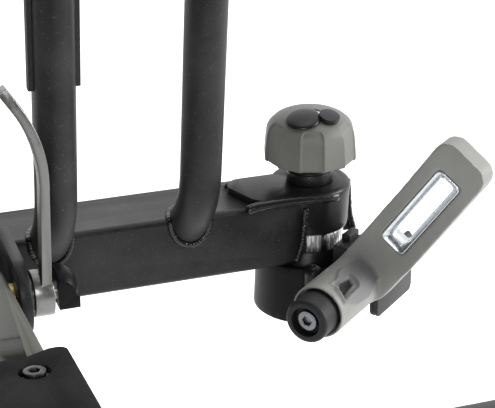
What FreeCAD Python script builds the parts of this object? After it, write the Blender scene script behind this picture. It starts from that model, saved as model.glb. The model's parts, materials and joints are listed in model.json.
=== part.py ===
import FreeCAD, Part
import ast
import math
import operator
import os
import re
import Sketcher

# Hitch bike carrier: a swing-away arm on a hitch shank, with a mast, a lock knob, a release
# lever and a folding platform. Millimetres. Origin at the hitch pin hole, +Z up, +Y to the vehicle.

doc = FreeCAD.newDocument("hitch_bike_carrier")
V = FreeCAD.Vector

SIZES = {
    # square tube and shank
    "tube_wide": 50.8, "tube_wall": 4.8, "tube_round": 4.0, "plug_thick": 3.0, "plug_gap": 0.1,
    "plug_deep": 14.0, "pin_radius": 8.1, "shank_front": -150.0, "shank_back": 90.0,
    "cross_left": -25.4, "cross_short": 17.0,
    # pivot, in the place of the arm's hinge axis
    "pivot_x": 280.0, "arm_y": -260.8, "arm_z": 37.0, "arm_left": -220.0,
    "barrel_radius": 27.8, "barrel_low": -3.0, "post_radius": 12.0, "bush_radius": 16.2,
    "post_fit": 0.05, "bush_long": 10.0, "post_thread": 9.0, "post_low": -42.0,
    "post_step": 55.0, "post_top": 77.0, "flange_radius": 17.0, "flange_thick": 4.0,
    # knuckle and index ring
    "knuckle_radius": 30.0, "knuckle_low": -42.0, "knuckle_shoulder": -28.0, "knuckle_top": -17.5,
    "knuckle_narrow": 26.0, "neck_wide": 34.0, "ring_radius": 26.0, "ring_bore": 17.0,
    "tooth_count": 48.0, "tooth_wide": 1.3, "tooth_deep": 1.1, "ring_gap": 0.06,
    "gap_wide": 2.4, "gap_deep": 5.0, "gap_around": 275.0,
    # top plate
    "plate_thick": 5.6, "plate_radius": 28.5, "plate_left": -67.0,
    "plate_back": 17.0, "plate_front": -27.0, "plate_corner": 12.0,
    "plate_slant": 17.0,
    # lower cup
    "cup_top_radius": 39.4, "cup_low_radius": 41.0, "cup_wall": 3.5, "cup_low": -69.0,
    "cup_top": -25.4, "cup_floor": 5.0, "cup_open_from": -30.0, "cup_open_to": 120.0,
    "boss_radius": 6.7, "boss_away": 43.0, "boss_angle": 254.0, "boss_low": -52.0,
    "boss_top": -26.0, "rib_thick": 8.0,
    # knob
    "knob_low": 48.6, "knob_tall": 37.4, "knob_radius": 34.8, "knob_top_radius": 32.8,
    "knob_dome": 62.0, "panel_around": 251.0, "panel_radius": 31.5, "panel_wide": 16.6,
    "panel_tall": 31.0, "panel_round": 6.0, "knob_skin": 4.0, "knob_hollow": 9.0, "collar_radius": 17.0,
    "collar_thick": 8.6, "collar_groove": 1.4, "insert_radius": 13.0, "insert_low": 57.0,
    "insert_long": 18.0, "thread_fit": 0.05,
    "core_tilt": 6.6, "core_around": -91.8, "core_radius": 6.5, "core_deep": 6.0,
    "cover_tilt": 18.1, "cover_around": -133.4, "cover_radius": 12.5, "cover_thick": 1.9,
    "cover_lift": 0.1, "cap_tilt": 17.4, "cap_around": -66.7, "cap_radius": 7.6, "cap_thick": 2.2,
    "cap_pin": 2.6,
    # release lever, in the hub's own frame
    "lever_turn": -50.0, "hub_away": 58.0, "hub_z": -23.0, "handle_back": 18.0,
    "handle_front": 37.0, "hub_radius": 19.5, "hub_mouth": 92.0, "bumper_radius": 16.0,
    "bumper_front": 109.0, "bumper_back": 78.0, "mouth_radius": 17.6, "mouth_deep": 5.0,
    "screw_recess": 10.9, "recess_deep": 7.0, "screw_radius": 7.0, "socket_wide": 4.0,
    "shaft_radius": 5.0, "shaft_fit": 0.05, "shaft_back": 22.0, "window_wide": 21.0,
    "window_long": 74.0, "window_mid": 81.0, "window_side": -2.6, "handle_angle": 55.0,
    "window_round": 4.0, "frame_wide": 3.2, "frame_back": 21.0, "frame_front": 35.4,
    # latch
    "finger_away": 6.5, "finger_radius": 2.0, "finger_web": 3.0, "finger_thick": 8.0, "finger_rest": -20.0,
    "latch_z": -32.0, "plunger_radius": 5.0, "plunger_fit": 0.06, "plunger_tip": 26.0,
    "block_in": 9.0, "block_out": 4.4, "block_wide": 13.0, "block_low": -37.0, "block_top": -28.5,
    "slot_fit": 0.08, "housing_low": -60.0, "housing_top": -9.0, "housing_face": 67.0,
    "housing_back": 28.0, "cavity_back": 17.0, "cavity_front": -8.0, "cavity_in": 44.5,
    "cavity_out": 65.0, "cavity_top": -12.0, "notch_deep": 24.4, "swing_open": 90.0,
    "spring_radius": 6.0, "spring_wire": 1.2, "spring_long": 7.5,
    # mast
    "hoop_radius": 14.3, "hoop_wall": 2.4, "outer_leg": 180.0, "inner_leg": 79.0,
    "lean": 7.75, "foot_tilt": 45.0, "foot_knee": 48.4, "foot_bend": 70.0, "top_bend": 70.0,
    "inner_top": 470.0, "outer_top": 600.0, "cross_radius": 11.0, "cross_height": 300.0,
    "pad_thick": 3.0, "pad_low": 150.0, "pad_high": 333.0,
    # platform fold bracket and clamp
    "fold_y": -80.0, "fold_z": 13.0, "cheek_in": 41.5, "cheek_out": 49.5, "nose_radius": 26.0,
    "bracket_thick": 8.0, "bracket_low": -22.0, "bracket_top": 25.0,
    "rod_radius": 6.0, "rod_fit": 0.05, "rod_left": -66.0, "rod_right": 81.0,
    "nut_radius": 10.6, "nut_thick": 8.0, "clamp_left": 52.8, "clamp_right": 66.0,
    "clamp_radius": 15.8, "clamp_bore": 11.0, "hub_fit": 0.08, "blade_back": -82.0,
    "blade_wide": 10.0, "blade_bend": 96.0, "head_left": 69.0, "head_right": 83.0, "head_radius": 17.5,
    "head_bend": 12.0, "head_low": 4.5, "head_front": -93.0, "head_back": -68.0,
    # spine, rail and trays, in the platform's own frame
    "tilt": 4.84, "spine_wide": 70.0, "spine_low": -27.0, "spine_top": 11.3,
    "spine_wall": 3.0, "spine_round_r": 4.0, "cover_round_r": 3.0, "spine_back": -15.0,
    "spine_end": 685.0, "cover_wide": 75.0,
    "cover_top": 13.8, "cover_skirt": -8.0, "bush_out": 9.0, "bush_side": 41.3,
    "rail_half": 48.5, "rail_thick": 4.0, "rail_back": 126.0, "rail_notch": 8.0,
    "rail_corner": 6.0, "rail_bolt_x": 24.0, "rail_bolt_first": 155.0, "rail_bolt_next": 262.0,
    "rail_bolt_inset": 182.0,
    "bolt_head": 6.5, "bolt_tall": 5.0, "dimple_radius": 9.5, "bolt_shank": 4.0,
    "bolt_long": 16.0, "bolt_socket": 3.6,
    "tray_inset": 77.0, "tray_step": 205.0, "tray_half": 620.0, "tray_tall": 39.0,
    "tray_floor": 3.0, "tray_edge": 52.0, "cap_plate": 4.0, "tray_bolt_x": 22.0,
    "hook_x": 430.0, "slider_half": 45.0, "slider_thick": 6.0, "slider_fit": 0.1,
    "ear_thick": 7.0, "eye_half": 11.0, "eye_radius": 12.0, "hook_pin": 5.0, "hook_lift": 16.0,
    "hook_radius": 8.0, "hook_long": 330.0, "hook_over": 85.0, "hook_bend": 42.0,
    "hook_lean": 15.0, "strap_x": -470.0, "strap_wide": 30.0, "strap_thick": 3.0,
    "strap_radius": 49.0, "buckle_long": 44.0, "buckle_pin": 3.0, "buckle_out": 14.0,
}

WORK = {ast.Add: operator.add, ast.Sub: operator.sub, ast.Mult: operator.mul, ast.Div: operator.truediv}
sheet = doc.addObject("Spreadsheet::Sheet", "Sizes")
for row, (alias, value) in enumerate(SIZES.items(), start=1):
    sheet.set(f"A{row}", alias)
    sheet.set(f"B{row}", str(value))
    sheet.setAlias(f"B{row}", alias)
doc.recompute()


def size(text):
    """Value of a formula over the sheet's names."""
    return value_of(ast.parse(str(text)).body[0].value)


def value_of(part):
    if isinstance(part, ast.BinOp):
        return WORK[type(part.op)](value_of(part.left), value_of(part.right))
    if isinstance(part, ast.UnaryOp):
        return -value_of(part.operand)
    if isinstance(part, ast.Name):
        return SIZES[part.id]
    return float(part.value)


def bound(text):
    return re.sub(r"\b([a-z]\w+)\b", lambda found: f"Sizes.{found[1]}" if found[1] in SIZES else found[1],
                  str(text))


def bind(item, name, text):
    item.setExpression(name, bound(text))


def put(item, at, turn=None):
    """Place an item by formulas, with a fixed rotation."""
    if turn is not None:
        item.Placement = FreeCAD.Placement(V(), turn)
    for letter, text in zip("xyz", at):
        bind(item, f"Placement.Base.{letter}", text)
    return item


TURNS = {
    "X": FreeCAD.Rotation(V(0, 1, 0), 90),
    "Y": FreeCAD.Rotation(V(1, 0, 0), -90),
    "Z": FreeCAD.Rotation(),
}


def box(label, at, sides, turn=None):
    item = doc.addObject("Part::Box", label)
    for name, text in zip(("Length", "Width", "Height"), sides):
        bind(item, name, text)
    return put(item, at, turn)


def rod(label, axis, at, radius, length):
    item = doc.addObject("Part::Cylinder", label)
    bind(item, "Radius", radius)
    bind(item, "Height", length)
    return put(item, at, TURNS[axis] if isinstance(axis, str) else axis)


def cone(label, at, low, high, tall, turn=None):
    item = doc.addObject("Part::Cone", label)
    bind(item, "Radius1", low)
    bind(item, "Radius2", high)
    bind(item, "Height", tall)
    return put(item, at, turn)


def fuse(label, items):
    item = doc.addObject("Part::MultiFuse", label)
    item.Shapes = items
    return item


def cut(label, base, tools):
    item = doc.addObject("Part::Cut", label)
    item.Base = base
    item.Tool = tools[0] if len(tools) == 1 else fuse(label + "_tools", tools)
    return item


def common(label, base, tool):
    item = doc.addObject("Part::Common", label)
    item.Base = base
    item.Tool = tool
    return item


def rounded(label, base, radius, pick):
    """Fillet of the edges that pick accepts."""
    doc.recompute()
    item = doc.addObject("Part::Fillet", label)
    item.Base = base
    amount = size(radius)
    item.Edges = [(place, amount, amount) for place, edge in enumerate(base.Shape.Edges, start=1)
                  if pick(edge)]
    return item


def along(direction):
    """Test for straight edges that run one way."""
    def test(edge):
        if edge.Curve.TypeId != "Part::GeomLine":
            return False
        return abs(abs(edge.tangentAt(edge.FirstParameter).dot(direction)) - 1) < 1e-6
    return test


def square_tube(label, axis, middle, start, length, wide, wall, corner):
    """Hollow square tube along X or Y, with rounded outer corners."""
    half = f"{wide} / 2"
    if axis == "X":
        at = (start, f"{middle[0]} - {half}", f"{middle[1]} - {half}")
        sides = (length, wide, wide)
        inner_at = (f"{start} - 1", f"{middle[0]} - {half} + {wall}", f"{middle[1]} - {half} + {wall}")
        inner = (f"{length} + 2", f"{wide} - 2 * {wall}", f"{wide} - 2 * {wall}")
        way = V(1, 0, 0)
    else:
        at = (f"{middle[0]} - {half}", start, f"{middle[1]} - {half}")
        sides = (wide, length, wide)
        inner_at = (f"{middle[0]} - {half} + {wall}", f"{start} - 1", f"{middle[1]} - {half} + {wall}")
        inner = (f"{wide} - 2 * {wall}", f"{length} + 2", f"{wide} - 2 * {wall}")
        way = V(0, 1, 0)
    outer = rounded(label + "_outer", box(label + "_block", at, sides), corner, along(way))
    return cut(label, outer, [box(label + "_inside", inner_at, inner)])


def sketch_body(label, plane, points, corners, start, depth, turn=None, at=None, holes=()):
    """Body with a padded outline; corners maps a point's place to its fillet radius."""
    body = doc.addObject("PartDesign::Body", label)
    flat = next(item for item in body.Origin.OriginFeatures if item.Role == plane)
    sketch = body.newObject("Sketcher::SketchObject", label + "_sketch")
    sketch.AttachmentSupport = [(flat, "")]
    sketch.MapMode = "FlatFace"
    bind(sketch, "AttachmentOffset.Base.z", start)
    for outline in (points,) + tuple(holes):
        first = sketch.GeometryCount
        count = len(outline)
        spots = [V(size(str(x)), size(str(y)), 0) for x, y in outline]
        for place in range(count):
            sketch.addGeometry(Part.LineSegment(spots[place], spots[(place + 1) % count]), False)
        for place in range(count):
            follow = first + (place + 1) % count
            sketch.addConstraint(Sketcher.Constraint("Coincident", first + place, 2, follow, 1))
            for kind, text, value in zip(("DistanceX", "DistanceY"), outline[place],
                                         (spots[place].x, spots[place].y)):
                if abs(value) < 1e-9:
                    line = -2 if kind == "DistanceX" else -1
                    sketch.addConstraint(Sketcher.Constraint("PointOnObject", first + place, 1, line))
                    continue
                number = sketch.addConstraint(
                    Sketcher.Constraint(kind, -1, 1, first + place, 1, value))
                bind(sketch, f"Constraints[{number}]", text)
    pad = body.newObject("PartDesign::Pad", label + "_pad")
    pad.Profile = sketch
    bind(pad, "Length", depth)
    doc.recompute()
    if corners:
        normal = sketch.Placement.Rotation.multVec(V(0, 0, 1))
        fillet = body.newObject("PartDesign::Fillet", label + "_round")
        names = []
        test = along(normal)
        spots = [sketch.Placement.multVec(V(size(str(x)), size(str(y)), 0)) for x, y in
                 (points[place] for place in corners[1])]
        for place, edge in enumerate(pad.Shape.Edges, start=1):
            if test(edge) and any(near(edge, spot, normal) for spot in spots):
                names.append(f"Edge{place}")
        fillet.Base = (pad, names)
        bind(fillet, "Radius", corners[0])
        body.Tip = fillet
        doc.recompute()
    if turn is not None:
        body.Placement = FreeCAD.Placement(V(), turn)
    if at is not None:
        put(body, at)
    return body


def near(edge, spot, normal):
    away = edge.Vertexes[0].Point - spot
    return (away - normal * away.dot(normal)).Length < 0.01


def ring_at(edge, turn, level):
    """Test for a circle square to the turned Y axis, at one level from the pivot."""
    if edge.Curve.TypeId != "Part::GeomCircle":
        return False
    middle = edge.Curve.Center - V(size("pivot_x"), size("arm_y"), size("arm_z"))
    return abs(turn.inverted().multVec(middle).y - level) < 0.01


nodes = {}


def node(label, item, *rest):
    """Keep one sub-part, or a group of equal pieces, under its own name."""
    item = fuse(label + "_all", [item] + list(rest)) if rest else item
    item.Label = label
    nodes[label] = item
    return item


PIVOT = ("pivot_x", "arm_y", "arm_z")


def at_pivot(x="0", y="0", z="0"):
    return (f"pivot_x + {x}", f"arm_y + {y}", f"arm_z + {z}")


# Fixed base
tube = ("tube_wide", "tube_wall", "tube_round")
shank = square_tube("shank_tube", "Y", ("0", "0"), "shank_front", "shank_back - shank_front", *tube)
pin_bore = rod("pin_bore", "X", ("-tube_wide", "0", "0"), "pin_radius", "2 * tube_wide")
node("hitch_shank", cut("hitch_shank_cut", shank, [pin_bore]))

cross_y = "shank_front - tube_wide / 2"
cross_long = "pivot_x + cross_short - cross_left"
node("cross_tube", square_tube("cross_square", "X", (cross_y, "0"), "cross_left", cross_long, *tube))

inside = "tube_wide - 2 * tube_wall - 2 * plug_gap"


def plug(label, axis, at, way):
    """Cap of a square tube: way +1 or -1 is the side that the cap stands out on."""
    y, z = at[1], at[2]
    if axis == "X":
        start = at[0] if way > 0 else f"{at[0]} - plug_thick"
        into = f"{at[0]} - plug_deep" if way > 0 else at[0]
        plate = box(label + "_plate", (start, f"{y} - tube_wide / 2", f"{z} - tube_wide / 2"),
                    ("plug_thick", "tube_wide", "tube_wide"))
        stem = box(label + "_stem", (into, f"{y} - ({inside}) / 2", f"{z} - ({inside}) / 2"),
                   ("plug_deep", inside, inside))
        plate = rounded(label + "_face", plate, "tube_round", along(V(1, 0, 0)))
    else:
        plate = box(label + "_plate", (f"{at[0]} - tube_wide / 2", y, f"{z} - tube_wide / 2"),
                    ("tube_wide", "plug_thick", "tube_wide"))
        stem = box(label + "_stem", (f"{at[0]} - ({inside}) / 2", f"{y} - plug_deep",
                                     f"{z} - ({inside}) / 2"), (inside, "plug_deep", inside))
        plate = rounded(label + "_face", plate, "tube_round", along(V(0, 1, 0)))
    return fuse(label, [plate, stem])


node("tube_plugs",
     plug("plug_left", "X", ("cross_left", cross_y, "0"), -1),
     plug("plug_right", "X", ("pivot_x + cross_short", cross_y, "0"), 1),
     plug("plug_shank", "Y", ("0", "shank_back", "0"), 1))

disc = rod("knuckle_disc", "Z", at_pivot(z="knuckle_low"), "knuckle_radius", "knuckle_shoulder - knuckle_low")
shoulder = cone("knuckle_cone", at_pivot(z="knuckle_shoulder"), "knuckle_radius", "knuckle_narrow",
                "knuckle_top - knuckle_shoulder")
neck = box("knuckle_neck", at_pivot(x="-neck_wide / 2", z="knuckle_low"),
           ("neck_wide", f"{cross_y} - tube_wide / 2 - arm_y", "knuckle_top - knuckle_low"))
knuckle_bore = rod("knuckle_bore", "Z", at_pivot(z="knuckle_low - 1"), "post_radius", "40")
latch_turn = FreeCAD.Rotation(V(0, 0, 1), size("lever_turn"))


def far_point(degrees, away=90):
    angle = math.radians(degrees)
    return (f"{away * math.cos(angle):.6f}", f"{away * math.sin(angle):.6f}")


def notch(label, degrees):
    turn = FreeCAD.Rotation(V(0, 0, 1), degrees).multiply(TURNS["X"])
    item = rod(label, turn, at_pivot(z="latch_z"), "plunger_radius + plunger_fit", "60")
    return item


groove_low = "latch_z - plunger_radius - plunger_fit"
groove_angles = [size(f"lever_turn + swing_open * {place} / 3") for place in range(4)]
groove_plan = sketch_body("groove_plan", "XY_Plane",
                          [("0", "0")] + [far_point(angle) for angle in groove_angles], None, "0",
                          "2 * plunger_radius + 2 * plunger_fit", at=at_pivot(z=groove_low))
groove = common("groove", groove_plan, rod("groove_rim", "Z", at_pivot(z="knuckle_low - 5"),
                                           "knuckle_radius + 2", "60"))
notch_zone = cut("notch_zone", fuse("notch_rods", [groove, notch("notch_home", size("lever_turn")),
                                                   notch("notch_open", size("lever_turn + swing_open"))]),
                 [rod("notch_core", "Z", at_pivot(z="knuckle_low - 5"), "notch_deep", "60")])
node("hinge_knuckle", cut("knuckle_cut", fuse("knuckle_whole", [disc, shoulder, neck]),
                          [knuckle_bore, notch_zone]))

post = [rod("post_main", "Z", at_pivot(z="post_low"), "post_radius", "post_step - post_low"),
        rod("post_upper", "Z", at_pivot(z="post_step"), "post_thread", "post_top - post_step"),
        rod("post_flange", "Z", at_pivot(z="post_low - flange_thick"), "flange_radius", "flange_thick")]
node("pivot_post", fuse("post_whole", post))

ring_blank = cut("ring_blank",
                 rod("ring_outer", "Z", at_pivot(z="knuckle_top"), "ring_radius",
                     "barrel_low - knuckle_top - ring_gap"),
                 [rod("ring_inner", "Z", at_pivot(z="knuckle_top - 1"), "ring_bore", "20")])


def ring_slot(label, degrees, wide, deep):
    """Upright slot in the ring's rim."""
    angle = math.radians(degrees)
    cosine, sine = math.cos(angle), math.sin(angle)
    inner = f"(ring_radius - {deep})"
    return box(label, at_pivot(x=f"({inner} * {cosine:.9f} + {wide} / 2 * {sine:.9f})",
                               y=f"({inner} * {sine:.9f} - {wide} / 2 * {cosine:.9f})",
                               z="knuckle_top - 2"), (f"{deep} * 2", wide, "20"),
               FreeCAD.Rotation(V(0, 0, 1), degrees))


teeth = [ring_slot(f"tooth_gap_{place}", 360 * place / size("tooth_count"), "tooth_wide", "tooth_deep")
         for place in range(int(size("tooth_count")))]
teeth.append(ring_slot("wide_gap", size("gap_around"), "gap_wide", "gap_deep"))
node("index_ring", cut("ring_cut", ring_blank, teeth))

# Swing arm
arm_tube = square_tube("arm_square", "X", ("arm_y", "arm_z"), "arm_left", "pivot_x - arm_left", *tube)
node("swing_arm", cut("arm_cut", arm_tube,
                      [rod("arm_cope", "Z", at_pivot(z="-60"), "barrel_radius", "120"),
                       rod("arm_knuckle_room", "Z", at_pivot(z="knuckle_low"), "knuckle_radius + 1",
                           "knuckle_top - knuckle_low + 1")]))

barrel = cut("barrel_cut",
             rod("barrel_outer", "Z", at_pivot(z="barrel_low"), "barrel_radius", "tube_wide / 2 - barrel_low"),
             [rod("barrel_bore", "Z", at_pivot(z="barrel_low - 1"), "bush_radius", "60")])
node("pivot_barrel", barrel)


def bush(label, low):
    return cut(label, rod(label + "_outer", "Z", at_pivot(z=low), "bush_radius", "bush_long"),
               [rod(label + "_bore", "Z", at_pivot(z=f"{low} - 1"), "post_radius + post_fit", "20")])


node("pivot_bushes", bush("bush_low", "barrel_low"), bush("bush_high", "tube_wide / 2 - bush_long"))

plate_box = sketch_body("plate_bar", "XY_Plane",
                        [("plate_left", "plate_back"), ("plate_left + plate_slant", "plate_front"),
                         ("0", "plate_front"), ("0", "plate_back")],
                        ("plate_corner", [0, 1]), "tube_wide / 2", "plate_thick", at=PIVOT)
plate = fuse("plate_whole", [plate_box, rod("plate_disc", "Z", at_pivot(z="tube_wide / 2"), "plate_radius",
                                            "plate_thick")])
node("top_plate", cut("plate_cut", plate,
                      [rod("plate_bore", "Z", at_pivot(z="0"), "post_radius + 3 * post_fit", "60")]))

cup_tall = "cup_top - cup_low"
cup_outer = cone("cup_outer", at_pivot(z="cup_low"), "cup_low_radius", "cup_top_radius", cup_tall)
cup_inner = cone("cup_inner", at_pivot(z="cup_low + cup_floor"), "cup_low_radius - cup_wall",
                 "cup_top_radius - cup_wall", cup_tall)


open_angles = [size("cup_open_from") + place * (size("cup_open_to") - size("cup_open_from")) / 3
               for place in range(4)]
cup_gap = sketch_body("cup_gap", "XY_Plane", [("0", "0")] + [far_point(angle) for angle in open_angles],
                      None, "0", "60", at=at_pivot(z="cup_low + cup_floor"))
plunger_turn = latch_turn.multiply(TURNS["X"])
cup_hole = rod("cup_hole", plunger_turn, at_pivot(z="latch_z"), "plunger_radius + 0.4", "60")
boss_x = f"boss_away * {math.cos(math.radians(size('boss_angle'))):.9f}"
boss_y = f"boss_away * {math.sin(math.radians(size('boss_angle'))):.9f}"
boss_seat = rod("boss_seat", "Z", at_pivot(x=boss_x, y=boss_y, z="cup_low - 1"), "boss_radius", "60")
node("lower_cup", cut("cup_cut", cup_outer, [cup_inner, cup_gap, cup_hole, boss_seat]))

boss_rod = rod("boss_rod", "Z", at_pivot(x=boss_x, y=boss_y, z="boss_low"), "boss_radius",
               "boss_top - boss_low")
boss_dome = doc.addObject("Part::Sphere", "boss_dome")
bind(boss_dome, "Radius", "boss_radius")
put(boss_dome, at_pivot(x=boss_x, y=boss_y, z="boss_top"))
node("cup_boss", fuse("boss_whole", [boss_rod, boss_dome]))

rib = sketch_body("rib_plate", "XZ_Plane", [("14", "tube_wide / 2"), ("28.3", "tube_wide / 2"),
                                            ("37", "knuckle_top + 1.5"), ("14", "knuckle_top + 1.5")],
                  None, "-rib_thick", "rib_thick", at=PIVOT)
node("rear_rib", cut("rib_cut", rib, [rod("rib_cope", "Z", at_pivot(z="-20"), "barrel_radius", "60")]))

node("arm_cap", plug("plug_arm", "X", ("arm_left", "arm_y", "arm_z"), -1))
doc.recompute()

# Latch: everything in the hub's frame, x outwards to the lever, y away from the handle
hub_at = PIVOT


def hub_spot(x, y, z):
    """Placement formulas of a point given in the hub's frame."""
    cosine = math.cos(math.radians(size("lever_turn")))
    sine = math.sin(math.radians(size("lever_turn")))
    return at_pivot(x=f"(({x}) * {cosine:.9f} - ({y}) * {sine:.9f})",
                    y=f"(({x}) * {sine:.9f} + ({y}) * {cosine:.9f})", z=f"({z})")


def hub_box(label, at, sides):
    return box(label, hub_spot(*at), sides, latch_turn)


def hub_rod(label, axis, at, radius, length):
    return rod(label, latch_turn.multiply(TURNS[axis]), hub_spot(*at), radius, length)


housing = sketch_body("housing_block", "XY_Plane",
                      [("30", "-handle_back + 0.2"), ("housing_face", "-handle_back + 0.2"),
                       ("housing_face", "housing_back"), ("52", "housing_back"), ("30", "-1")],
                      ("4", [1, 2]), "housing_low", "housing_top - housing_low", turn=latch_turn,
                      at=hub_at)
cavity = hub_box("housing_cavity", ("cavity_in", "cavity_front", "housing_low - 1"),
                 ("cavity_out - cavity_in", "cavity_back - cavity_front",
                  "cavity_top - housing_low + 1"))
shaft_bore = hub_rod("housing_shaft_bore", "Y", ("hub_away", "-handle_back - 5", "hub_z"),
                     "shaft_radius + shaft_fit", "shaft_back + handle_back + 6")
guide_bore = hub_rod("housing_guide_bore", "X", ("20", "0", "latch_z"),
                     "plunger_radius + plunger_fit", "cavity_in - 19")
cup_room = cone("housing_cup_room", at_pivot(z="cup_low"), "cup_low_radius", "cup_top_radius", cup_tall)
barrel_room = rod("housing_barrel_room", "Z", at_pivot(z="cup_top - 0.1"), "knuckle_radius + 6", "60")
node("latch_housing", cut("housing_cut", housing, [cavity, shaft_bore, guide_bore, cup_room,
                                                   barrel_room]))

shaft = hub_rod("shaft_rod", "Y", ("hub_away", "-bumper_back + 2", "hub_z"), "shaft_radius",
                "bumper_back - 2 + shaft_back")
rest = math.radians(size("finger_rest"))
tip_x = f"(hub_away + finger_away * {math.sin(rest):.9f})"
tip_z = f"(hub_z - finger_away * {math.cos(rest):.9f})"
finger_turn = latch_turn.multiply(FreeCAD.Rotation(V(0, 1, 0), -math.degrees(rest)))
side = f"{math.cos(rest):.9f} * finger_web / 2"
rise = f"{math.sin(rest):.9f} * finger_web / 2"
finger = box("finger_web", hub_spot(f"{tip_x} - {side}", "-finger_thick / 2", f"{tip_z} - {rise}"),
             ("finger_web", "finger_thick", "finger_away"), finger_turn)
finger_tip = hub_rod("finger_tip", "Y", (tip_x, "-finger_thick / 2", tip_z), "finger_radius",
                     "finger_thick")
node("lever_shaft", fuse("shaft_whole", [shaft, finger, finger_tip]))

pin = hub_rod("plunger_pin", "X", ("plunger_tip", "0", "latch_z"), "plunger_radius",
              f"{tip_x} - block_in - plunger_tip + 1")
block = hub_box("plunger_block", (f"{tip_x} - block_in", "-block_wide / 2", "block_low"),
                ("block_in + block_out", "block_wide", "block_top - block_low"))
slot = hub_box("plunger_slot", (f"{tip_x} - finger_radius - slot_fit",
                                "-finger_thick / 2 - 0.3", "block_low + 4"),
               ("2 * finger_radius + 2 * slot_fit", "finger_thick + 0.6", "20"))
node("latch_plunger", cut("plunger_cut", fuse("plunger_whole", [pin, block]), [slot]))

coil_end = "cavity_back - spring_long - 0.6"
coil = hub_rod("spring_outer", "Y", ("hub_away", coil_end, "hub_z"), "spring_radius + spring_wire / 2",
               "spring_long")
coil_bore = hub_rod("spring_inner", "Y", ("hub_away", coil_end + " - 1", "hub_z"),
                    "spring_radius - spring_wire / 2", "spring_long + 2")
node("latch_spring", cut("spring_cut", coil, [coil_bore]))

# Release lever
HANDLE = [(-17.2, 9.2), (0.6, 33.4), (30.4, 75.0), (64.2, 124.8), (97.4, 100.4),
          (89.3, 87.8), (67.7, 56.0), (45.0, 23.1), (21.3, -9.4),
          (12.0, -15.4)]
outline = [(f"hub_away + {x}", f"hub_z + {z}") for x, z in HANDLE]
grip_body = sketch_body("handle_plate", "XZ_Plane", outline, ("11", [3, 4]), "handle_back",
                        "handle_front - handle_back", turn=latch_turn, at=hub_at)
grip_turn = latch_turn.multiply(FreeCAD.Rotation(V(0, 1, 0), -size("handle_angle")))
lean_cos = math.cos(math.radians(size("handle_angle")))
lean_sin = math.sin(math.radians(size("handle_angle")))


def grip_spot(s, side_away, y):
    """Point at a distance along the handle and to its side."""
    return hub_spot(f"hub_away + ({s}) * {lean_cos:.9f} - ({side_away}) * {lean_sin:.9f}", y,
                    f"hub_z + ({s}) * {lean_sin:.9f} + ({side_away}) * {lean_cos:.9f}")


def window_block(label, grow, back, front):
    start = f"window_mid - window_long / 2 - ({grow})"
    low = f"window_side - window_wide / 2 - ({grow})"
    item = box(label + "_block", grip_spot(start, low, f"-({front})"),
               (f"window_long + 2 * ({grow})", f"({front}) - ({back})", f"window_wide + 2 * ({grow})"),
               grip_turn)
    way = grip_turn.multVec(V(0, 1, 0))
    return rounded(label, item, "window_round", along(way))


window = window_block("handle_window", "0", "handle_back - 2", "handle_front + 2")
hub = hub_rod("hub_drum", "Y", ("hub_away", "-hub_mouth", "hub_z"), "hub_radius",
              "hub_mouth - handle_back")
hub_bore = hub_rod("hub_bore", "Y", ("hub_away", "-hub_mouth - 1", "hub_z"), "bumper_radius",
                   "hub_mouth + 1 - bumper_back")
mouth = hub_rod("hub_mouth_bore", "Y", ("hub_away", "-hub_mouth - 1", "hub_z"), "mouth_radius",
                "mouth_deep + 1")
hub_shaft = hub_rod("hub_shaft_bore", "Y", ("hub_away", "-bumper_back - 1", "hub_z"), "shaft_radius",
                    "bumper_back + 1")
pocket = box("hub_pocket", hub_spot("hub_away + 6.5", "-82", "hub_z + 17.5"), ("11", "22", "9"),
             latch_turn.multiply(FreeCAD.Rotation(V(0, 1, 0), 45)))
node("release_lever", cut("lever_cut", fuse("lever_whole", [grip_body, hub]),
                          [window, hub_bore, mouth, hub_shaft, pocket]))

frame_outer = window_block("frame_outer", "0", "frame_back", "frame_front")
frame_inner = window_block("frame_inner", "-frame_wide", "frame_back - 2", "frame_front + 2")
tab = box("frame_tab", grip_spot("window_mid - window_long / 2 + frame_wide - 0.5",
                                 "window_side - window_wide / 2 + frame_wide - 0.5", "-frame_front + 2"),
          ("7", "4", "6"), grip_turn)
node("opener_frame", fuse("frame_whole", [cut("frame_cut", frame_outer, [frame_inner]), tab]))

bumper = rounded("bumper_round",
                 hub_rod("bumper_rod", "Y", ("hub_away", "-bumper_front", "hub_z"), "bumper_radius",
                         "bumper_front - bumper_back"), "3",
                 lambda edge: ring_at(edge, latch_turn, -size("bumper_front")))
recess = hub_rod("bumper_recess", "Y", ("hub_away", "-bumper_front - 1", "hub_z"), "screw_recess",
                 "recess_deep + 1")
screw_bore = hub_rod("bumper_bore", "Y", ("hub_away", "-bumper_front", "hub_z"), "4", "60")
node("hub_bumper", cut("bumper_cut", bumper, [recess, screw_bore]))

screw_head = hub_rod("screw_head", "Y", ("hub_away", "-bumper_front + recess_deep - 4.5", "hub_z"),
                     "screw_radius", "4.5")
screw_stem = hub_rod("screw_stem", "Y", ("hub_away", "-bumper_front + recess_deep", "hub_z"), "4",
                     "bumper_front - recess_deep - bumper_back + 2")
socket = doc.addObject("Part::Prism", "screw_socket")
socket.Polygon = 6
bind(socket, "Circumradius", "socket_wide")
bind(socket, "Height", "4")
put(socket, hub_spot("hub_away", "-bumper_front + recess_deep - 5.5", "hub_z"),
    latch_turn.multiply(TURNS["Y"]))
node("hub_screw", cut("screw_cut", fuse("screw_whole", [screw_head, screw_stem]), [socket]))

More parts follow.
